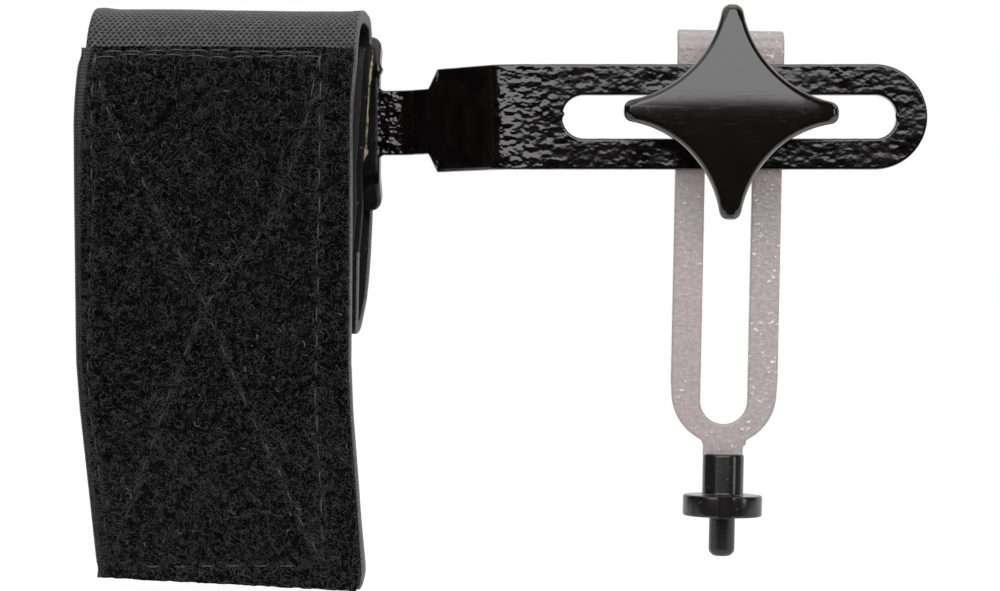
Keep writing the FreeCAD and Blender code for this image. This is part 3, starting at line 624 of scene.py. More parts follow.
def strap_piece(name, stations, left, right, inner, outer, rounding, across, finishes,
                height=None, line=None):
    """Closed layer of the strap. Its rings run over the outer face from left to right, down
    the rounded edge, back over the inner face and up the other edge, and its ends are rounded
    too. The outer face, edges and inner face get the first, second and last finish, and
    height(points, distance, side, out) moves the skin outwards."""
    end, thick = round_steps(rounding, 4), outer - inner
    stations = np.concatenate([stations[0] + end, stations[
        (stations > stations[0] + rounding) & (stations < stations[-1] - rounding)],
        stations[-1] - end[::-1]])
    nip = drawn_in(rounding, np.minimum(stations - stations[0], stations[-1] - stations))
    inset, deep = edge_points(rounding, thick, 3)
    face = left + rounding + (right - left - 2 * rounding) * np.linspace(0, 1, across)
    side = np.concatenate([face, right - inset, face[::-1], left + inset])
    out = np.concatenate([np.full(across, outer), outer - deep, np.full(across, inner),
                          outer - deep[::-1]])
    middle = (outer + inner) / 2
    out = (out - middle) * (thick - 2 * nip[:, None]) / thick + middle
    rows, ring = out.shape
    on_edge = np.tile(np.repeat([0, 1], [across, len(deep)]), 2)
    cap = cap_faces(across, ring)
    kind = np.where(on_edge + np.roll(on_edge, -1) > 0, 1,
                    np.where(np.arange(ring) < across, 0, len(finishes) - 1))
    kind = np.concatenate([np.tile(kind, rows - 1), np.ones(2 * len(cap), int)])
    points, triangles, square, first = weld(
        on_strap(stations[:, None], side, out, line), tube_faces(rows, ring, cap))
    pattern = pair(side, stations[:, None]).reshape(-1, 2)[first]
    if height is not None:
        points = raised(points, triangles, height(points, pattern[:, 1], pattern[:, 0],
                                                  out.reshape(-1)[first]))
    return make_piece(name, points, triangles, finishes, kind[square], pattern * 0.001)


def pattern_place(tree):
    """Place on the strap in millimetres: side, and distance along it."""
    return add_node(tree, "Mapping", {"Vector": add_node(tree, "UVMap", uv_map="pattern"),
                                      "Scale": (1000, 1000, 1000)})


def woven(tree, pitch, row_pitch, hole):
    """Distance from the nearest hole of a staggered weave, 0 at its middle and 1 outside it:
    the pattern is cut into cells, each second row is moved on by half a cell, and the place
    in the cell gives the distance. The holes are narrower than high and lean a little."""
    part = add_node(tree, "SeparateXYZ", [pattern_place(tree)])
    value = {"x": part.outputs["X"], "y": part.outputs["Y"]}
    for name, operation, first, second in (
            ("row", "DIVIDE", "y", row_pitch), ("whole", "FLOOR", "row", 0.0),
            ("odd", "MODULO", "whole", 2.0), ("shift", "MULTIPLY", "odd", 0.5),
            ("column", "DIVIDE", "x", pitch), ("column", "ADD", "column", "shift"),
            ("up", "FRACT", "row", 0.0), ("up", "SUBTRACT", "up", 0.5),
            ("up", "MULTIPLY", "up", row_pitch), ("lean", "MULTIPLY", "up", 0.12),
            ("across", "FRACT", "column", 0.0), ("across", "SUBTRACT", "across", 0.5),
            ("across", "MULTIPLY", "across", pitch * 1.2), ("across", "ADD", "lean", "across"),
            ("across", "MULTIPLY", "across", "across"), ("up", "MULTIPLY", "up", "up"),
            ("away", "ADD", "across", "up"), ("away", "SQRT", "away", 0.0)):
        value[name] = add_node(tree, "Math", [value[first], value.get(second, second)],
                               operation=operation)
    return add_node(tree, "MapRange", [value["away"], hole * 0.45, hole],
                    interpolation_type="SMOOTHSTEP")


webbing, tree, where = new_finish("woven_strap_face")
# Calendered polyester basket weave, dull mid grey, with a small dark hole where four yarns
# meet. The holes are 1.07 mm apart along a row, the rows 0.74 mm apart and staggered.
yarn = woven(tree, 1.07, 0.735, 0.44)
fuzz = add_node(tree, "TexNoise", {"Vector": where, "Scale": 1300.0, "Detail": 4.0})
worn = add_node(tree, "TexNoise", {"Vector": where, "Scale": 60.0, "Detail": 3.0})
faded = add_node(tree, "ValToRGB", [worn], [(0.3, "#252324"), (0.75, "#302e2f")])
fluffy = add_node(tree, "ValToRGB", [fuzz], [(0.36, "#131213"), (0.66, "#625f60")])
tone = add_node(tree, "Mix", {0: 0.5, 6: faded, 7: fluffy}, data_type="RGBA").outputs[2]
surface(tree, {
    "Base Color": add_node(tree, "Mix", {0: yarn, 6: "#010101", 7: tone},
                           data_type="RGBA").outputs[2],
    "Roughness": 0.6, "Sheen Weight": 0.1,
    "Specular IOR Level": add_node(tree, "MapRange", [yarn, 0.0, 1.0, 0.2, 0.5])},
    (yarn, 0.0003, 0.9), (fuzz, 0.00006, 0.5))

# Cut edge of the strap: smooth black rubber between two thin fabric faces, greyed and a
# little fluffy where it was cut.
core = grained("rubber_core_edge", 1800.0, [(0.33, "#3b393a"), (0.68, "#6d6a6b")],
               {"Roughness": 0.6}, 0.00006, 0.6)

lining, tree, where = new_finish("black_rubber_lining")
# Inner face of the strap: matt black foamed rubber, with lint and dust caught in it.
pores = add_node(tree, "TexNoise", {"Vector": where, "Scale": 1500.0, "Detail": 4.0})
lint = add_node(tree, "TexNoise", {"Vector": where, "Scale": 1100.0, "Detail": 1.0})
lint = add_node(tree, "MapRange", [lint, 0.7, 0.76])
clean = add_node(tree, "ValToRGB", [pores], [(0.3, "#070606"), (0.7, "#141213")])
surface(tree, {
    "Base Color": add_node(tree, "Mix", {0: lint, 6: clean, 7: "#575454"},
                           data_type="RGBA").outputs[2],
    "Roughness": 0.75, "Specular IOR Level": 0.25},
    (pores, 0.0001, 0.7))


def webbing_height(points, distance, side, out):
    """Slow waves in the webbing, and over the top its outer face standing up a little towards
    the left and at both edges."""
    arch = np.clip(np.minimum(distance - saddle_end - 3, loop_start - distance + 4) / 5, 0, 1)
    lift = (0.24 * np.clip((12 - side) / 22, 0, 1) + 0.32 * bell(side, -25, 1.8)
            + 0.2 * bell(side, 25.5, 1.5))
    return 0.05 * cloud(points, 7.0, 3) + arch * lift * (out > 0.5) * (np.abs(side) < 25.72)


strap_webbing = strap_piece("strap_webbing", np.append(np.arange(0, web_end, 0.5), web_end),
                            -STRAP_HALF, STRAP_HALF, -WEB_HALF, WEB_HALF, 0.3, 44,
                            [webbing, core, lining], webbing_height)


def pattern_of(piece):
    """Side and distance of each triangle in millimetres, the mean of its corners."""
    corners = np.zeros(len(piece.data.loops) * 2, np.float32)
    piece.data.uv_layers["pattern"].data.foreach_get("uv", corners)
    return (corners.reshape(-1, 3, 2).mean(1) * 1000).T


# The tucked tail shows its lining too, and the edge is black along the stretch that lies up the
# saddle.
kind = np.zeros(len(strap_webbing.data.polygons), np.int32)
strap_webbing.data.polygons.foreach_get("material_index", kind)
gone = pattern_of(strap_webbing)[1]
kind[(kind == 0) & (gone < fold_end - 6)] = 2
kind[(kind == 1) & (gone > fold_end + 12) & (gone < saddle_end + 1.5)] = 2
strap_webbing.data.polygons.foreach_set("material_index", kind)
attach(strap_webbing, "arm_body")
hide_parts("strap_web")


# ---- Glue
# Amber contact glue between the strap and the saddle, squeezed out into a thin uneven bead
# along the right edge and ending in a drop.

# Set glue: clotted, from dull amber to pale straw, and half glossy.
glue = grained("amber_contact_glue", 900.0, [(0.36, "#3f3826"), (0.62, "#b3a682")],
               {"Roughness": 0.35}, 0.00015, 0.8)

GLUE_LEFT, GLUE_RIGHT = -21.0, 25.0
glue_film = strap_piece("glue_film", np.linspace(flat_start, flat_end, 40), GLUE_LEFT, GLUE_RIGHT,
                        WEB_HALF, WEB_HALF + GLUE, 0.12, 60, [glue, glue, glue])
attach(glue_film, "arm_body")
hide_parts("adhesive_film")

# Round each station of the bead lies a flattened circle, wider across than out, whose width
# wanders with a cloud and closes to almost nothing at both ends.
stations = np.linspace(flat_end - 17.5, saddle_end + 1.2, 120)[:, None]
along = np.linspace(0, 1, 120)[:, None]
angle = turns_of(12)
wander = 1 + 0.4 * cloud(stations * (1, 0, 0), 1.6, 5)[:, None]
size = ((0.28 + 0.3 * bell(along, 0.06, 0.05)) * wander
        * np.clip(np.sin(math.pi * along) * 4, 0.02, 1))
rings = on_strap(stations, STRAP_HALF + 0.12 * np.sin(along * 9) + size * np.cos(angle),
                 WEB_HALF + 0.3 + 0.6 * size * np.sin(angle))
glue_bead = make_piece("glue_bead", *tube(rings, end_faces(12)), [glue])
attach(glue_bead, "arm_body")


# ---- Hook tape
# Moulded-nylon hook tape on the strap's inner face behind the saddle: a woven ground with
# rows of short hooked stems that catch the loop tape.

nylon, tree, where = new_finish("black_nylon_ground")
# Nylon ground cloth: black, with a slight sheen and small holes 0.8 mm apart.
yarn = woven(tree, 0.8, 0.6, 0.24)
surface(tree, {
    "Base Color": add_node(tree, "ValToRGB", [yarn], [(0, "#0a0a0a"), (1, "#1d1c1d")]),
    "Roughness": 0.55, "Sheen Weight": 0.1},
    (yarn, 0.0001, 0.8))

HOOK_HALF, HOOK_ROW, HOOK_GAP = 25.0, 1.25, 1.3
hook_start = fold_end + 5.0
stations = np.append(np.arange(hook_start, saddle_end, 0.6), saddle_end)
hook_tape = strap_piece("hook_tape", stations, -HOOK_HALF, HOOK_HALF, -WEB_HALF - HOOK_TAPE,
                        -WEB_HALF, 0.15, 44, [nylon, nylon, nylon])
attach(hook_tape, "arm_body")
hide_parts("hook_panel")

hook_stem, tree, where = new_finish("black_nylon_hooks")
# Moulded nylon stems: black, smooth and half glossy.
surface(tree, {"Base Color": "#171617", "Roughness": 0.35})


def strands(middle, thickness, sides):
    """Tubes along many short lines at once, with closed ends. middle is an array of lines by
    points by XYZ; a tube's ring is a circle in two directions square to the line, got by
    crossing the line's own direction with a fixed one."""
    lines, count = middle.shape[:2]
    along = np.gradient(middle, axis=1)
    along /= np.linalg.norm(along, axis=2, keepdims=True)
    first = np.cross(along, np.array([0.31, 0.27, 0.91]))
    first /= np.linalg.norm(first, axis=2, keepdims=True)
    second = np.cross(along, first)
    angle = turns_of(sides)[:, None]
    points = (middle[:, :, None] + thickness * (
        first[:, :, None] * np.cos(angle) + second[:, :, None] * np.sin(angle))).reshape(-1, 3)
    squares = tube_faces(count, sides)
    k = np.arange(1, sides - 1)
    fan = np.stack([0 * k, k, k + 1], -1)
    one = np.concatenate([squares[:, [0, 1, 2]], squares[:, [0, 2, 3]], fan[:, ::-1],
                          fan + (count - 1) * sides])
    shift = (np.arange(lines) * count * sides)[:, None, None]
    return points, outward(points, (one + shift).reshape(-1, 3))


def hook_lines():
    """Middle lines of the hooks, on a staggered grid: a stem straight out of the tape that
    bends over in a half circle at its top, as sine and cosine of the turn."""
    rows = np.arange(hook_start + 1, saddle_end - 1, HOOK_ROW)[:, None, None]
    columns = np.arange(-HOOK_HALF + 1.2, HOOK_HALF - 1.2, HOOK_GAP)[:, None]
    odd = (np.arange(len(rows)) % 2)[:, None, None]
    turn = np.array([0, 0, 0.25, 0.5, 0.75]) * math.pi
    climb = np.array([0.0, 0.55, 0.55, 0.55, 0.55]) + 0.3 * np.sin(turn)
    lean = 0.24 * (1 - np.cos(turn))
    return on_strap(rows + (2 * odd - 1) * lean, columns + HOOK_GAP / 2 * odd,
                    -WEB_HALF - 0.55 - climb).reshape(-1, 5, 3)


tape_hooks = make_piece("tape_hooks", *strands(hook_lines(), 0.11, 4), [hook_stem])
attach(tape_hooks, "arm_body")


# ---- Loop tape
# Brushed-nylon loop tape, 52 mm wide, sewn over the front of the strap: a dense black nap of
# teased loops, with a ribbed woven selvedge along its left side.

LOOP_LEFT, LOOP_RIGHT = -27.0, 25.75
OVERHANG = 1.95              # how far the tape hangs below the strap's fold
loop_line = follow(tail_end, -90.0, TO_FRONT + [(OVERHANG, 0)])
loop_foot = long_end + OVERHANG


def selvedge(distance):
    """How far the woven edge shows at the left: widest at the tape's top, where the nap was
    cut back, and falling off as a bell curve of the distance from it."""
    return 1.3 + 1.0 * bell(distance, loop_top, 17.0)


pile, tree, where = new_finish("brushed_nylon_nap")
# Teased nylon loops, painted near-black in the depths as painted shade. Two nets of fine curls, 1.2
# and 0.8 mm across, are the loops nearest the eye; they are painted lighter, as a painted
# highlight, in patches where the nap stands up.


def curls(tree, where, scale, width):
    """1 on a net of thin curly lines: the borders between cells whose places were shaken by
    a noise, falling to 0 at the width."""
    shake = add_node(tree, "TexNoise", {"Vector": where, "Scale": scale * 1.3})
    moved = add_node(tree, "VectorMath", [shake.outputs["Color"], (0.9 / scale,) * 3, where],
                     operation="MULTIPLY_ADD")
    net = add_node(tree, "TexVoronoi", {"Vector": moved, "Scale": scale},
                   feature="DISTANCE_TO_EDGE")
    return add_node(tree, "MapRange", [net.outputs["Distance"], width, 0.0])


net = add_node(tree, "Math", [curls(tree, where, 820.0, 0.13), curls(tree, where, 1250.0, 0.15)],
               operation="MAXIMUM")
patches = add_node(tree, "TexNoise", {"Vector": where, "Scale": 600.0, "Detail": 4.0})
lit = add_node(tree, "Math", [net, add_node(tree, "MapRange", [patches, 0.35, 0.7])],
               operation="MULTIPLY")
# Painted light: curls lighter in patches as a painted highlight, the depths near-black as painted
# shade.
surface(tree, {
    "Base Color": add_node(tree, "ValToRGB", [lit], [(0, "#010101"), (1, "#1d1b1c")]),
    "Roughness": 0.9, "Specular IOR Level": 0.05},
    (net, 0.00016, 0.8))

ribbed, tree, where = new_finish("ribbed_selvedge")
# Woven edge of the tape, ribs 0.62 mm apart across it.
ribs = add_node(tree, "TexWave", {"Vector": pattern_place(tree), "Scale": 0.507,
                                  "Distortion": 1.6, "Detail": 3.0, "Detail Scale": 3.0},
                bands_direction="Y").outputs["Fac"]
surface(tree, {
    "Base Color": add_node(tree, "ValToRGB", [ribs], [(0.1, "#0d0c0d"), (1, "#363335")]),
    "Roughness": 0.7, "Sheen Weight": 0.1},
    (ribs, 0.00008, 0.8))

# The seams on the tape, by distance along the strap and side: the box's two upper rows, its
# sides and foot, and the two diagonals, which wander as they were sewn by hand.
near_top, near_foot = loop_top + 0.5, loop_foot - 3.6
seams = [
    [(near_top + 0.1, -22.5), (near_top - 0.2, -6.0), (near_top + 0.3, 8.0),
     (near_top + 0.1, 21.5)],
    [(near_top + 1.1, -24.0), (near_top + 0.6, -12.0), (near_top + 1.2, 2.0),
     (near_top + 0.8, 13.0), (near_top + 1.1, 24.0)],
    [(near_top, -23.6), (near_top + 27, -23.2), (near_top + 60, -24.6), (near_foot, -24.0)],
    [(near_top, 19.6), (near_top + 14, 20.4), (near_top + 84, 19.2), (near_foot, 19.0)],
    [(near_foot + 1.3, -17.0), (near_foot - 1.0, 19.0)],
    [(near_top, -23.8), (near_top + 4, -22.8), (near_top + 9, -21.0), (near_top + 47, -1.5),
     (near_foot, 18.8)],
    [(near_top, 19.6), (near_top + 12, 17.8), (near_top + 30, 11.5), (near_top + 47, -1.5),
     (near_foot, -23.5)],
]


def groove_of(distance, side):
    """1 on a seam, falling off as a bell curve of the shortest distance from its pieces."""
    groove = np.zeros(len(distance))
    for line in seams:
        for (d0, s0), (d1, s1) in zip(line, line[1:]):
            dd, ds = d1 - d0, s1 - s0
            t = np.clip(((distance - d0) * dd + (side - s0) * ds) / (dd ** 2 + ds ** 2), 0, 1)
            gap = np.hypot(distance - d0 - t * dd, side - s0 - t * ds)
            groove = np.maximum(groove, bell(gap, 0, 0.7))
    return groove


def nap_height(points, distance, side, out):
    """Height of the nap: clouds of three sizes on the front, 0.2 mm low, sunk by half a
    millimetre more over the selvedge, apart from its ends, and in a groove along each seam."""
    front = np.clip((out - WEB_HALF - 0.7) / 0.6, 0, 1)
    nap = np.clip((side - LOOP_LEFT - selvedge(distance)) / 0.9, 0, 1)
    teased = (0.08 * cloud(points, 2.1, 21) + 0.1 * cloud(points, 0.9, 22)
              + 0.08 * cloud(points, 0.45, 23))
    away = np.clip(np.minimum(distance - loop_top, loop_foot - distance) / 1.5, 0, 1)
    return front * (nap * (teased - 0.45 * groove_of(distance, side))
                    - (1 - nap) * 0.5 * away - 0.2)


stations = np.append(np.arange(loop_top, loop_foot, 0.42), loop_foot)
loop_tape = strap_piece("loop_tape", stations, LOOP_LEFT, LOOP_RIGHT, WEB_HALF,
                        WEB_HALF + LOOP_TAPE, 0.3, 124, [pile, ribbed, pile], nap_height,
                        loop_line)
side, gone = pattern_of(loop_tape)
loop_tape.data.polygons.foreach_set(
    "material_index", (side < LOOP_LEFT + selvedge(gone)).astype(np.int32))
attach(loop_tape, "arm_body")
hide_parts("loop_panel")

fibre, tree, where = new_finish("nylon_fibre")
# Single nylon filaments and small bundles of them, drawn 0.08 mm thick so that they show. Each
# has a tone of its own, and one in three hundred is a pale thread of lint.
tone = add_node(tree, "NewGeometry").outputs["Random Per Island"]
lint = add_node(tree, "MapRange", [tone, 0.9955, 0.998])
dyed = add_node(tree, "ValToRGB", [tone], [(0.25, "#070607"), (1, "#4a4748")])
surface(tree, {
    "Base Color": add_node(tree, "Mix", {0: lint, 6: dyed, 7: "#a09c9d"},
                           data_type="RGBA").outputs[2],
    "Roughness": 0.55, "Sheen Weight": 0.1})


def fibre_lines(count, seed, first, last):
    """Middle lines of loose fibre loops: each starts somewhere between two distances, rises
    over half a sine to a random height and wanders off in a random direction with a sideways
    curl."""
    random = np.random.default_rng(seed)
    distance, side, heading, reach, curl, lift = (
        random.uniform(low, high, count)[:, None] for low, high in (
            (first, last), (0, 1), (0, 2 * math.pi), (0.5, 1.7), (-0.7, 0.7), (0.0, 0.4)))
    side = LOOP_RIGHT * side + (1 - side) * (LOOP_LEFT + selvedge(distance) - 0.5)
    t = np.linspace(0, 1, 4)
    forth, aside = reach * (t - 0.5), curl * np.sin(math.pi * t)
    return on_strap(
        np.minimum(distance + forth * np.cos(heading) - aside * np.sin(heading),
                   loop_foot - 0.05),
        np.clip(side + forth * np.sin(heading) + aside * np.cos(heading), LOOP_LEFT + 0.4,
                LOOP_RIGHT + 0.1),
        WEB_HALF + LOOP_TAPE - 0.33 + lift * np.sin(math.pi * t) * 1.2, loop_line)


for name, seed, first, last in (
        ("nap_fibres_upper", 31, loop_top, loop_top + 36.0),
        ("nap_fibres_middle", 32, loop_top + 36.0, loop_top + 72.0),
        ("nap_fibres_lower", 33, loop_top + 72.0, loop_foot)):
    nap_fibres = make_piece(name, *strands(fibre_lines(9000, seed, first, last), 0.038, 3), [fibre])
    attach(nap_fibres, "arm_body")


# ---- Stitching
# Black bonded-nylon lockstitch that holds the loop tape: a box with a cross in it, its upper
# row sewn twice. Each stitch is a short arch of thread that dives into the nap at its ends.

thread, tree, where = new_finish("bonded_nylon_thread")
# Bonded nylon thread: almost black, each turn of its twist painted lighter as a soft painted sheen.
twist = add_node(tree, "TexWave", {"Vector": where, "Scale": 900.0, "Distortion": 1.0}
                 ).outputs["Fac"]
surface(tree, {
    "Base Color": add_node(tree, "ValToRGB", [twist], [(0, "#242223"), (1, "#5c5859")]),
    "Roughness": 0.4},
    (twist, 0.00005, 0.6))


def stitch_lines(line, pitch, share, sunk, seed):
    """Middle lines of a seam's stitches: the seam is cut at each pitch, a stitch covers a
    share of its piece with a little shake, and lifts as half a sine over the nap. Up to a
    seam's sunk depth is taken off each stitch, so that some hardly show."""
    line = np.array(line)
    gone = np.concatenate([[0], np.cumsum(np.hypot(*np.diff(line, axis=0).T))])
    starts = np.arange(0.3, gone[-1] - pitch, pitch)
    t = np.linspace(0, 1, 9)
    place = starts[:, None] + pitch * share * t
    random = np.random.default_rng(seed)
    shake = random.uniform(-0.16, 0.16, (len(starts), 2, 1))
    depth = random.uniform(0, sunk, (len(starts), 1))
    return on_strap(np.interp(place, gone, line[:, 0]) + shake[:, 0],
                    np.interp(place, gone, line[:, 1]) + shake[:, 1],
                    WEB_HALF + LOOP_TAPE - 0.68 - depth + 0.66 * np.sin(math.pi * t) ** 0.5,
                    loop_line)


# One row a seam: its pitch, the share of it that shows, and how deep stitches may sink.
SEWN = [(4.1, 0.94, 0.1), (4.4, 0.9, 0.1), (5.2, 0.55, 0.45), (5.2, 0.6, 0.1), (5.4, 0.52, 0.0),
        (5.0, 0.45, 0.15), (5.0, 0.6, 0.5)]
stitches = [stitch_lines(line, *sewn, 40 + k) for k, (line, sewn) in enumerate(zip(seams, SEWN))]
tape_stitches = make_piece("tape_stitches", *strands(np.concatenate(stitches), 0.12, 6), [thread])
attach(tape_stitches, "arm_body")


# ---- Flat washer
# M8 pressed-steel washer, zinc plated, between the arm and the spring washer. Its edges are
# rolled over a little by the press.

BOLT_X, BOLT_Z = 89.0, 0.12
BASE = -30.1                 # front of the washers, where the knob's boss bears


def about_bolt(radius, depth, angle):
    """Points at a radius and an angle about the clamp bolt."""
    return np.stack(np.broadcast_arrays(BOLT_X + radius * np.cos(angle), depth,
                                        BOLT_Z + radius * np.sin(angle)), -1)


def softened(corners, radius):
    """Outline with each corner turned into a short curve: the blend (1-t)^2 a + 2t(1-t)
    corner + t^2 c between points a and c, at most the radius before and after it."""
    corners = np.array(corners, float)
    t = np.linspace(0, 1, 5)[:, None]
    line = [corners[:1]]
    for before, corner, after in zip(corners, corners[1:], corners[2:]):
        back, on = before - corner, after - corner
        a = corner + back * min(radius / np.linalg.norm(back), 0.45)
        c = corner + on * min(radius / np.linalg.norm(on), 0.45)
        line.append((1 - t) ** 2 * a + 2 * t * (1 - t) * corner + t ** 2 * c)
    return np.concatenate(line + [corners[-1:]])


def ring_section(inside, outside, low, high, radius):
    """Closed rectangle of radius and height with softened corners, from mid-side round."""
    middle = (inside + outside) / 2
    return softened([(middle, low), (outside, low), (outside, high), (inside, high),
                     (inside, low), (middle, low)], radius)


zinc, tree, where = new_finish("bright_zinc_plate")
# Passivated zinc on pressed steel: bright, faintly blue, with turning marks and light dulling.
marks = add_node(tree, "TexNoise", {"Vector": where, "Scale": 1500.0, "Detail": 4.0})
dull = add_node(tree, "TexNoise", {"Vector": where, "Scale": 220.0})
surface(tree, {
    "Base Color": add_node(tree, "ValToRGB", [dull], [(0, "#a9adb2"), (1, "#c9ccd0")]),
    "Metallic": 1.0, "Roughness": add_node(tree, "MapRange", [dull, 0.0, 1.0, 0.24, 0.42])},
    (marks, 0.00001, 0.5))

WASHER_BORE, WASHER_RIM, SPRING_THICK = 4.2, 8.0, 2.0
section = ring_section(WASHER_BORE, WASHER_RIM, BASE + SPRING_THICK, ARM_FACE, 0.2)
rings = about_bolt(section[:, :1], section[:, 1:], turns_of(96))
plain_washer = make_piece("plain_washer", *tube(rings), [zinc])
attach(plain_washer, "washer_body")
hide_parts("flat_washer")


# ---- Clamp bolt
# M8 coach bolt, zinc plated: a low domed head behind the bracket, a square neck that stops it
# turning in the bracket's slot, and a rolled 1.25 mm thread.

LEAN = math.radians(1.18)
SEAT, BOLT_END = -21.0, -40.0
HEAD_RADIUS, HEAD_HEIGHT, HEAD_RIM = 8.5, 4.0, 0.8
NECK_SQUARE, PITCH = 7.9, 1.25
crown = HEAD_HEIGHT - HEAD_RIM
dome_radius = (HEAD_RADIUS ** 2 + crown ** 2) / (2 * crown)
dome = np.linspace(0, HEAD_RADIUS - 0.1, 22)
head = np.concatenate([
    pair(dome, SEAT + HEAD_HEIGHT - dome_radius + np.sqrt(dome_radius ** 2 - dome ** 2)),
    softened([(HEAD_RADIUS - 0.05, SEAT + HEAD_RIM), (HEAD_RADIUS, SEAT + HEAD_RIM - 0.1),
              (HEAD_RADIUS, SEAT), (3.6, SEAT)], 0.25)[1:]])


def bolt_rings():
    """Rings from the head's crown to the thread's end. Head rings are circles; neck rings are
    squares with rounded corners, the smaller of the square's and a circle's radius; thread
    rings rise and fall with the height plus the way round, as a rolled ridge of 60 degrees."""
    angle = turns_of(64)
    square = np.minimum(NECK_SQUARE / 2 / np.maximum(np.abs(np.cos(angle)),
                                                     np.abs(np.sin(angle))), 5.1)
    neck = np.stack([square, square, np.minimum(square, 4.6), 0 * angle + 3.75])
    depth = np.arange(SEAT - 2.6, BOLT_END, -PITCH / 9)
    wave = np.abs(((depth[:, None] / PITCH + angle / (2 * math.pi)) % 1) * 2 - 1)
    ridge = 3.25 + 0.6 * np.clip(wave * 1.25 - 0.12, 0, 1)
    taper = np.clip((depth - BOLT_END) / 0.8, 0, 1)[:, None]
    radius = np.concatenate([head[:, :1] + 0 * angle, neck, np.minimum(ridge, 3.05 + 0.8 * taper),
                             [0 * angle + 2.9, 0 * angle]])
    height = np.concatenate([head[:, 1], SEAT - np.array([0.01, 2.0, 2.3, 2.5]), depth,
                             [BOLT_END, BOLT_END]])
    return about_bolt(radius, height[:, None], angle - LEAN)


coach_bolt = make_piece("coach_bolt", *tube(bolt_rings()), [zinc])
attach(coach_bolt, "bolt_body")
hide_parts("clamp_bolt")


# ---- Gauge bracket
# 2.5 mm mild-steel plate with a long slot, its top edge rolled back as a finger stop and its
# round foot drawn in to a tongue that carries the feeler. Light grey hammer enamel.

PLATE, PLATE_HALF, LIP_OUTER, LIP_TOP, LIP_LENGTH = 2.5, 10.1, 3.7, 16.7, 4.5
LIP_MIDDLE = LIP_OUTER - PLATE / 2
PLATE_TOP = LIP_TOP - LIP_OUTER
PLATE_X, PLATE_Y, PLATE_Z = 89.5, -23.5, 0.12


def on_bracket(along, across, depth):
    """Solid point of the bracket. Along is measured down from the foot of the rolled edge:
    below it the plate is flat, above it the plate turns back through a quarter circle and
    runs on level. The whole leans by a turn about Y."""
    turn = np.clip(-along / LIP_MIDDLE, 0, QUARTER)
    level = np.clip(-along - LIP_MIDDLE * QUARTER, 0, None)
    back = LIP_OUTER - (LIP_OUTER - depth) * np.cos(turn) + level
    up = PLATE_TOP + (LIP_OUTER - depth) * np.sin(turn) - np.clip(along, 0, None)
    return np.stack([PLATE_X + across * math.cos(LEAN) + up * math.sin(LEAN), PLATE_Y + back,
                     PLATE_Z + up * math.cos(LEAN) - across * math.sin(LEAN)], -1)


def bracket_columns():
    """Matching edge points of the bracket's right half, from the rolled edge down: side, foot
    circle, fillet and tongue outside, and slot or centre line inside."""
    first = -(LIP_LENGTH - LIP_OUTER) - LIP_MIDDLE * QUARTER
    slot_top, slot_half, step = PLATE_TOP - 3.5, 4.5, 0.3
    low, centre, radius = PLATE_TOP + 53.8, PLATE_TOP + 52.3, 9.95
    tongue, fillet, foot = 3.75, 1.6, PLATE_TOP + 64.2
    drop = math.sqrt((radius + fillet) ** 2 - (tongue + fillet) ** 2)
    meet = math.acos((tongue + fillet) / (radius + fillet))
    slot_start = slot_top - slot_half - EDGE
    start = np.concatenate([first + round_steps(EDGE, 5),
                            np.arange(first + EDGE, slot_start, step)[1:], [slot_start]])
    entry = np.linspace(-QUARTER, 0, 13)
    straight = np.arange(slot_top, centre, step)[1:]
    side = np.concatenate([start, slot_top + (slot_half + EDGE) * np.sin(entry[1:]), straight])
    width = PLATE_HALF - np.clip(side - centre + 2, 0, None) / 2 * (PLATE_HALF - radius)
    # round foot beside the slot's round end, then fillet and tongue beside the centre line
    swing = math.radians(50)
    foot_turn = np.concatenate([np.linspace(0, swing, 30), np.linspace(swing, meet, 5)[1:]])
    fillet_turn = np.linspace(meet, 0, 7)[1:]
    down = np.linspace(centre + drop, foot, 6)[1:]
    outer = np.concatenate([pair(side, width), arc((centre, 0), radius, foot_turn),
                            arc((centre + drop, tongue + fillet), -fillet, fillet_turn),
                            pair(down, tongue)])
    outer_way = way(np.concatenate([0 * side, foot_turn, fillet_turn, 0 * down]))
    turn = np.linspace(0, QUARTER, 26)
    tail = np.linspace(low + slot_half + EDGE, foot, 16)[1:]
    inner = np.concatenate([
        pair(start[:-1], 0), arc((slot_top, 0), slot_half, entry), pair(straight, slot_half),
        pair(np.linspace(centre, low, 5)[:-1], slot_half), arc((low, 0), slot_half, turn),
        pair(tail, 0)])
    inner_way = -np.concatenate([np.zeros((len(start) - 1, 2)),
                                 way(np.concatenate([entry, np.zeros(len(straight) + 4), turn])),
                                 np.zeros((len(tail), 2))])
    row = np.arange(len(outer))
    solid = (row < len(start)) | (row >= len(outer) - len(tail) - 1)
    nip = np.zeros(len(outer))
    nip[:len(start)] = drawn_in(EDGE, start - first)
    return outer, outer_way, inner, inner_way, solid, nip


grey_enamel, tree, where = new_finish("grey_hammer_enamel")
# Warm light grey hammer enamel: semi-gloss and almost even, with small lumps that each have a
# painted white glint, a painted highlight, on their upper side, more of them towards the right
# edge.
ripple = add_node(tree, "TexNoise", {"Vector": where, "Scale": 1500.0, "Detail": 3.0})
mottle = add_node(tree, "TexNoise", {"Vector": where, "Scale": 1100.0, "Detail": 3.0})
drawn = add_node(tree, "Mapping", {"Vector": where, "Scale": (1 / 1.3, 1, 1)})
lumps = add_node(tree, "TexNoise", {"Vector": drawn, "Scale": 1500.0, "Detail": 1.5})
painted_glint_crowd = add_node(tree, "MapRange", [add_node(tree, "SeparateXYZ", [where]), 0.080, 0.098,
                                    0.72, 0.65])
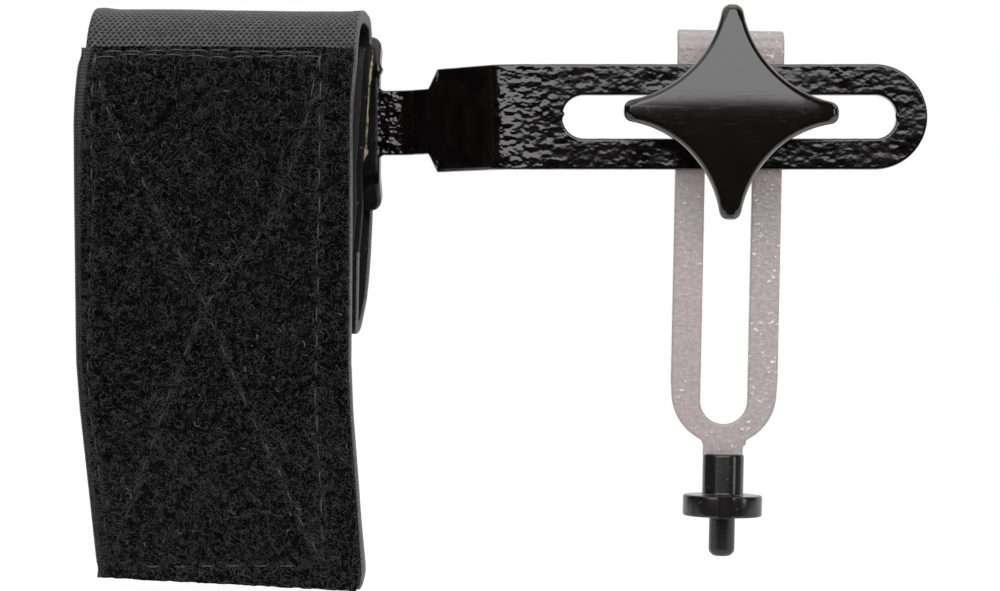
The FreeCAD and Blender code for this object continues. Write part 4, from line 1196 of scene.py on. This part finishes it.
# Painted highlight: white glints in the colour where the lumps pass a threshold that falls towards
# the right.
painted_glint = add_node(tree, "Math", [lumps, painted_glint_crowd], operation="SUBTRACT")
painted_glint = add_node(tree, "MapRange", [painted_glint, 0.0, 0.035], interpolation_type="SMOOTHSTEP")
coat = add_node(tree, "ValToRGB", [mottle], [(0.35, "#9c9292"), (0.68, "#aaa0a0")])
surface(tree, {
    "Base Color": add_node(tree, "Mix", {0: painted_glint, 6: coat, 7: "#d9d4d5"},
                           data_type="RGBA").outputs[2],
    "Roughness": 0.28}, (ripple, 0.00003, 0.5), (lumps, 0.00015, 0.7))

points, triangles = slotted_sheet(on_bracket, *bracket_columns(), PLATE, (PLATE_X, 0, PLATE_Z),
                                  (math.cos(LEAN), 0, -math.sin(LEAN)))
# A drop of the enamel hardened on the right of the tang's shoulder.
points = raised(points, triangles, hammered(points, (1.0, 1.0, 1.2), 0.75, 0.02, 51)
                + lump(points, (91.95, -22.3, -61.7), 0.6, 0.7))
bracket_plate = make_piece("bracket_plate", points, triangles, [grey_enamel])
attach(bracket_plate, "bracket_body")
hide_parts("gauge_bracket")


# ---- Feeler
# Turned-looking moulding in black acetal, pushed over the bracket's tang: a barrel, a collar
# that rests against the rim and a thin pin. The moulding gate is a shallow recess in front.

BARREL, COLLAR, PIN = 3.92, 7.55, 2.47
BARREL_TOP, COLLAR_TOP, COLLAR_FOOT, PIN_END = -63.95, -71.7, -75.75, -83.35
PIN_EDGE = 0.9
GATE_HALF, GATE_DEPTH = 1.3, 0.9
SHIFTED = 0.17               # the feeler sits this far right of the bracket's middle


def feeler_rings():
    """Rings down the feeler from a softened outline of radius and height. Round the collar the
    front is cut back: within the gate's width a point's depth stops at the recess's floor."""
    outline = softened([(0, BARREL_TOP), (BARREL, BARREL_TOP), (BARREL, COLLAR_TOP),
                        (COLLAR, COLLAR_TOP), (COLLAR, COLLAR_FOOT), (PIN, COLLAR_FOOT),
                        (PIN, PIN_END + PIN_EDGE), (PIN - PIN_EDGE, PIN_END), (0, PIN_END)], 0.5)
    spread = math.asin(GATE_HALF / COLLAR)
    beside = spread + 0.004
    angle = np.concatenate([np.linspace(-spread, spread, 13),
                            np.linspace(beside, 2 * math.pi - beside, 107)])
    across, front = outline[:, :1] * np.sin(angle), outline[:, :1] * np.cos(angle)
    in_gate = (np.abs(across) <= GATE_HALF + 1e-6) & (np.arange(len(angle)) < 13)
    front = np.where(in_gate, np.minimum(front, COLLAR - GATE_DEPTH), front)
    return on_bracket(PLATE_TOP - outline[:, 1:], across + SHIFTED, PLATE / 2 - front)


acetal, tree, where = new_finish("black_acetal")
# Moulded acetal: slippery black with faint drag marks along the pin and pale nicks.
drawn = add_node(tree, "Mapping", {"Vector": where, "Scale": (1.0, 1.0, 0.12)})
drag = add_node(tree, "TexNoise", {"Vector": drawn, "Scale": 1800.0, "Detail": 3.0})
nicks = add_node(tree, "TexNoise", {"Vector": where, "Scale": 1700.0})
nicks = add_node(tree, "MapRange", [nicks, 0.7, 0.74])
black = add_node(tree, "ValToRGB", [drag], [(0, "#110f10"), (1, "#211f20")])
surface(tree, {
    "Base Color": add_node(tree, "Mix", {0: nicks, 6: black, 7: "#777374"},
                           data_type="RGBA").outputs[2],
    "Roughness": 0.21, "IOR": 1.48},
    (drag, 0.00002, 0.5))

feeler = make_piece("feeler", *tube(feeler_rings()), [acetal])
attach(feeler, "bracket_body")
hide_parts("feeler_tip")


# ---- Spring washer
# Split ring of square spring steel, oil black, flattened by the clamp. It lies between the
# plain washer and the knob.

SPRING_BORE, SPRING_RIM, GAP = 4.15, 7.4, 1.5
SPRING_TURN = math.radians(87.6)
half_gap = math.asin(GAP / 2 / SPRING_RIM)
section = ring_section(SPRING_BORE, SPRING_RIM, BASE, BASE + SPRING_THICK, 0.25)
angle = np.linspace(half_gap, 2 * math.pi - half_gap, 90)[:, None] + SPRING_TURN
rings = about_bolt(section[:, 0], section[:, 1], angle)
k = np.arange(1, len(section) - 2)
fan = np.stack([0 * k, k, k + 1, k + 1], -1)  # closes each end from the section's first point

# Hardened spring steel, quenched in oil: dark, satin, with fine scale marks.
spring_steel = grained("oil_black_spring_steel", 800.0, [(0, "#2b2b2d"), (1, "#4a4a4c")],
                       {"Metallic": 1.0, "Roughness": 0.38}, 0.00002, 0.6)
split_washer = make_piece("split_washer", *tube(rings, fan), [spring_steel])
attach(split_washer, "spring_washer_body")
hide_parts("spring_washer")


# ---- Knob bush
# Hexagonal brass nut moulded into the knob, tapped M8.

KNOB_TURN = math.radians(0.7)
FLATS, BUSH_LENGTH, TAPPED = 12.0, 9.0, 3.92


def hexagon(angle):
    """Radius of the bush: half its flats over the cosine of the angle from a flat's middle."""
    return FLATS / 2 / np.cos((angle % (math.pi / 3)) - math.pi / 6)


angle = turns_of(96)
hexed, bore = hexagon(angle), TAPPED + 0 * angle
radius = np.stack([bore, bore, bore + 0.35, hexed - 0.25, hexed, hexed, bore])
height = BASE - np.array([BUSH_LENGTH, 0.35, 0, 0, 0.25, BUSH_LENGTH, BUSH_LENGTH])
rings = about_bolt(radius, height[:, None], angle - KNOB_TURN)

# Turned brass, bright, with light tarnish.
brass = grained("turned_brass", 400.0, [(0, "#a8853f"), (1, "#d2b066")],
                {"Metallic": 1.0, "Roughness": 0.28}, 0.00001, 0.4, 3.0)
brass_bush = make_piece("brass_bush", *tube(rings), [brass])
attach(brass_bush, "knob_body")
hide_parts("knob_bush")


# ---- Star knob
# Four-armed knob compression-moulded in glossy black phenolic: a domed face with a rolled rim,
# hollow sides between the arms, and a round boss behind. Its face is left plain.

REACH, HOLLOW_CENTRE, HOLLOW_RADIUS, ARM_CORNER = 20.0, 22.3, 20.6, 1.8
WALL_BACK = BASE - 2.4
CROWN_TOP = WALL_BACK - 6.2 - 3.4
CROWN_RADIUS = 61.7
RIM, RIM_DEEP, TAPER = 1.3, 2.1, 0.4
BOSS = 8.5


def star_radius(angle, inset):
    """Radius of the knob's outline, drawn in by an inset. Folded to one arm, a direction
    meets the flat end, the corner circle or the hollow circle, whichever is nearest by the
    angles of the tangent points between them."""
    folded = np.abs((angle + math.pi / 4) % QUARTER - math.pi / 4)
    corner = np.maximum(ARM_CORNER - inset, 0.05)
    hollow, reach = HOLLOW_RADIUS + inset, REACH - inset
    inner = reach - corner
    flat = HOLLOW_CENTRE - np.sqrt((hollow + corner) ** 2 - (HOLLOW_CENTRE - inner) ** 2)
    share = hollow / (hollow + corner)
    second = np.arctan2(HOLLOW_CENTRE - (HOLLOW_CENTRE - flat) * share,
                        HOLLOW_CENTRE - (HOLLOW_CENTRE - inner) * share)
    along = inner * np.cos(folded) + flat * np.sin(folded)
    on_corner = along + np.sqrt(np.clip(along ** 2 - inner ** 2 - flat ** 2 + corner ** 2, 0,
                                        None))
    both = HOLLOW_CENTRE * (np.cos(folded) + np.sin(folded))
    on_hollow = both - np.sqrt(np.clip(both ** 2 - 2 * HOLLOW_CENTRE ** 2 + hollow ** 2, 0,
                                       None))
    return np.where(folded < np.arctan2(flat, reach), reach / np.cos(folded),
                    np.where(folded < second, on_corner, on_hollow))


def crown_depth(radius):
    """Depth of the domed face at a radius, on a sphere."""
    return CROWN_TOP + CROWN_RADIUS - np.sqrt(CROWN_RADIUS ** 2 - radius ** 2)


def knob_rings():
    """Rings over the knob from the middle of its face: out over the dome, round the rim as a
    curve (1-t)^2 a + 2t(1-t) b + t^2 c between dome and wall, down the tapering wall, in over
    the back, up the boss and in over its end to the bush. The mould was a little askew: the
    further forward a point, the more it sits to the left and up."""
    arm = np.linspace(-1, 1, 90, endpoint=False)
    arm = np.sign(arm) * np.abs(arm) ** 1.5 * math.pi / 4
    angle = np.concatenate([arm + k * QUARTER for k in range(4)])
    out = np.concatenate([np.linspace(0, 0.9, 26), np.linspace(0.9, 1, 8)[1:]])[:, None]
    face = out * star_radius(angle, RIM)
    widest = star_radius(angle, 0.0)
    wall_top = crown_depth(widest)
    a = np.stack([face[-1], crown_depth(face[-1])])
    b = np.stack([widest, wall_top])
    c = np.stack([widest, wall_top + RIM_DEEP])
    t = np.linspace(0, 1, 12)[1:, None, None]
    rim = (1 - t) ** 2 * a + 2 * t * (1 - t) * b + t ** 2 * c
    down = np.linspace(0, 1, 6)[1:, None]
    wall = (wall_top + RIM_DEEP) * (1 - down) + (WALL_BACK - 0.4) * down
    back = [star_radius(angle, TAPER + inset) for inset in (0.12, 0.4)]
    boss = softened([(BOSS + 1.5, WALL_BACK), (BOSS, WALL_BACK), (BOSS, BASE), (7.2, BASE)], 0.35)
    seat = hexagon(angle) + 0.02
    radius = np.concatenate([
        face, rim[:, 0], star_radius(angle, TAPER * down), back,
        np.minimum(boss[:, :1], star_radius(angle, TAPER + 0.5)), [seat, seat, 0 * angle]])
    behind = np.concatenate([[WALL_BACK - 0.12, WALL_BACK], boss[:, 1],
                             [BASE, BASE - BUSH_LENGTH - 0.05, BASE - BUSH_LENGTH - 0.05]])
    depth = np.concatenate([crown_depth(face), rim[:, 1], wall, behind[:, None] + 0 * angle])
    askew = np.clip((WALL_BACK - depth) / (WALL_BACK - CROWN_TOP), 0, 1)[..., None]
    return about_bolt(radius, depth, angle - KNOB_TURN) + askew * (-0.42, 0.0, 0.32)


phenolic, tree, where = new_finish("glossy_black_phenolic")
# Compression-moulded phenolic: deep black, high gloss from the tool, with a very faint orange
# peel, fine handling scratches and a little dust.
peel = add_node(tree, "TexNoise", {"Vector": where, "Scale": 260.0})
drawn = add_node(tree, "Mapping", {"Vector": where, "Rotation": (0.0, 0.6, 0.0),
                                   "Scale": (0.08, 1.0, 1.0)})
scratch = add_node(tree, "TexNoise", {"Vector": drawn, "Scale": 2600.0})
surface(tree, {
    "Base Color": add_node(tree, "ValToRGB", [peel], [(0, "#0e0a0a"), (1, "#171111")]),
    "Roughness": add_node(tree, "MapRange", [scratch, 0.55, 0.75, 0.11, 0.2]), "IOR": 1.6},
    (peel, 0.00001, 0.4))

grip_knob = make_piece("grip_knob", *tube(knob_rings()), [phenolic])
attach(grip_knob, "knob_body")
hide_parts("star_knob")
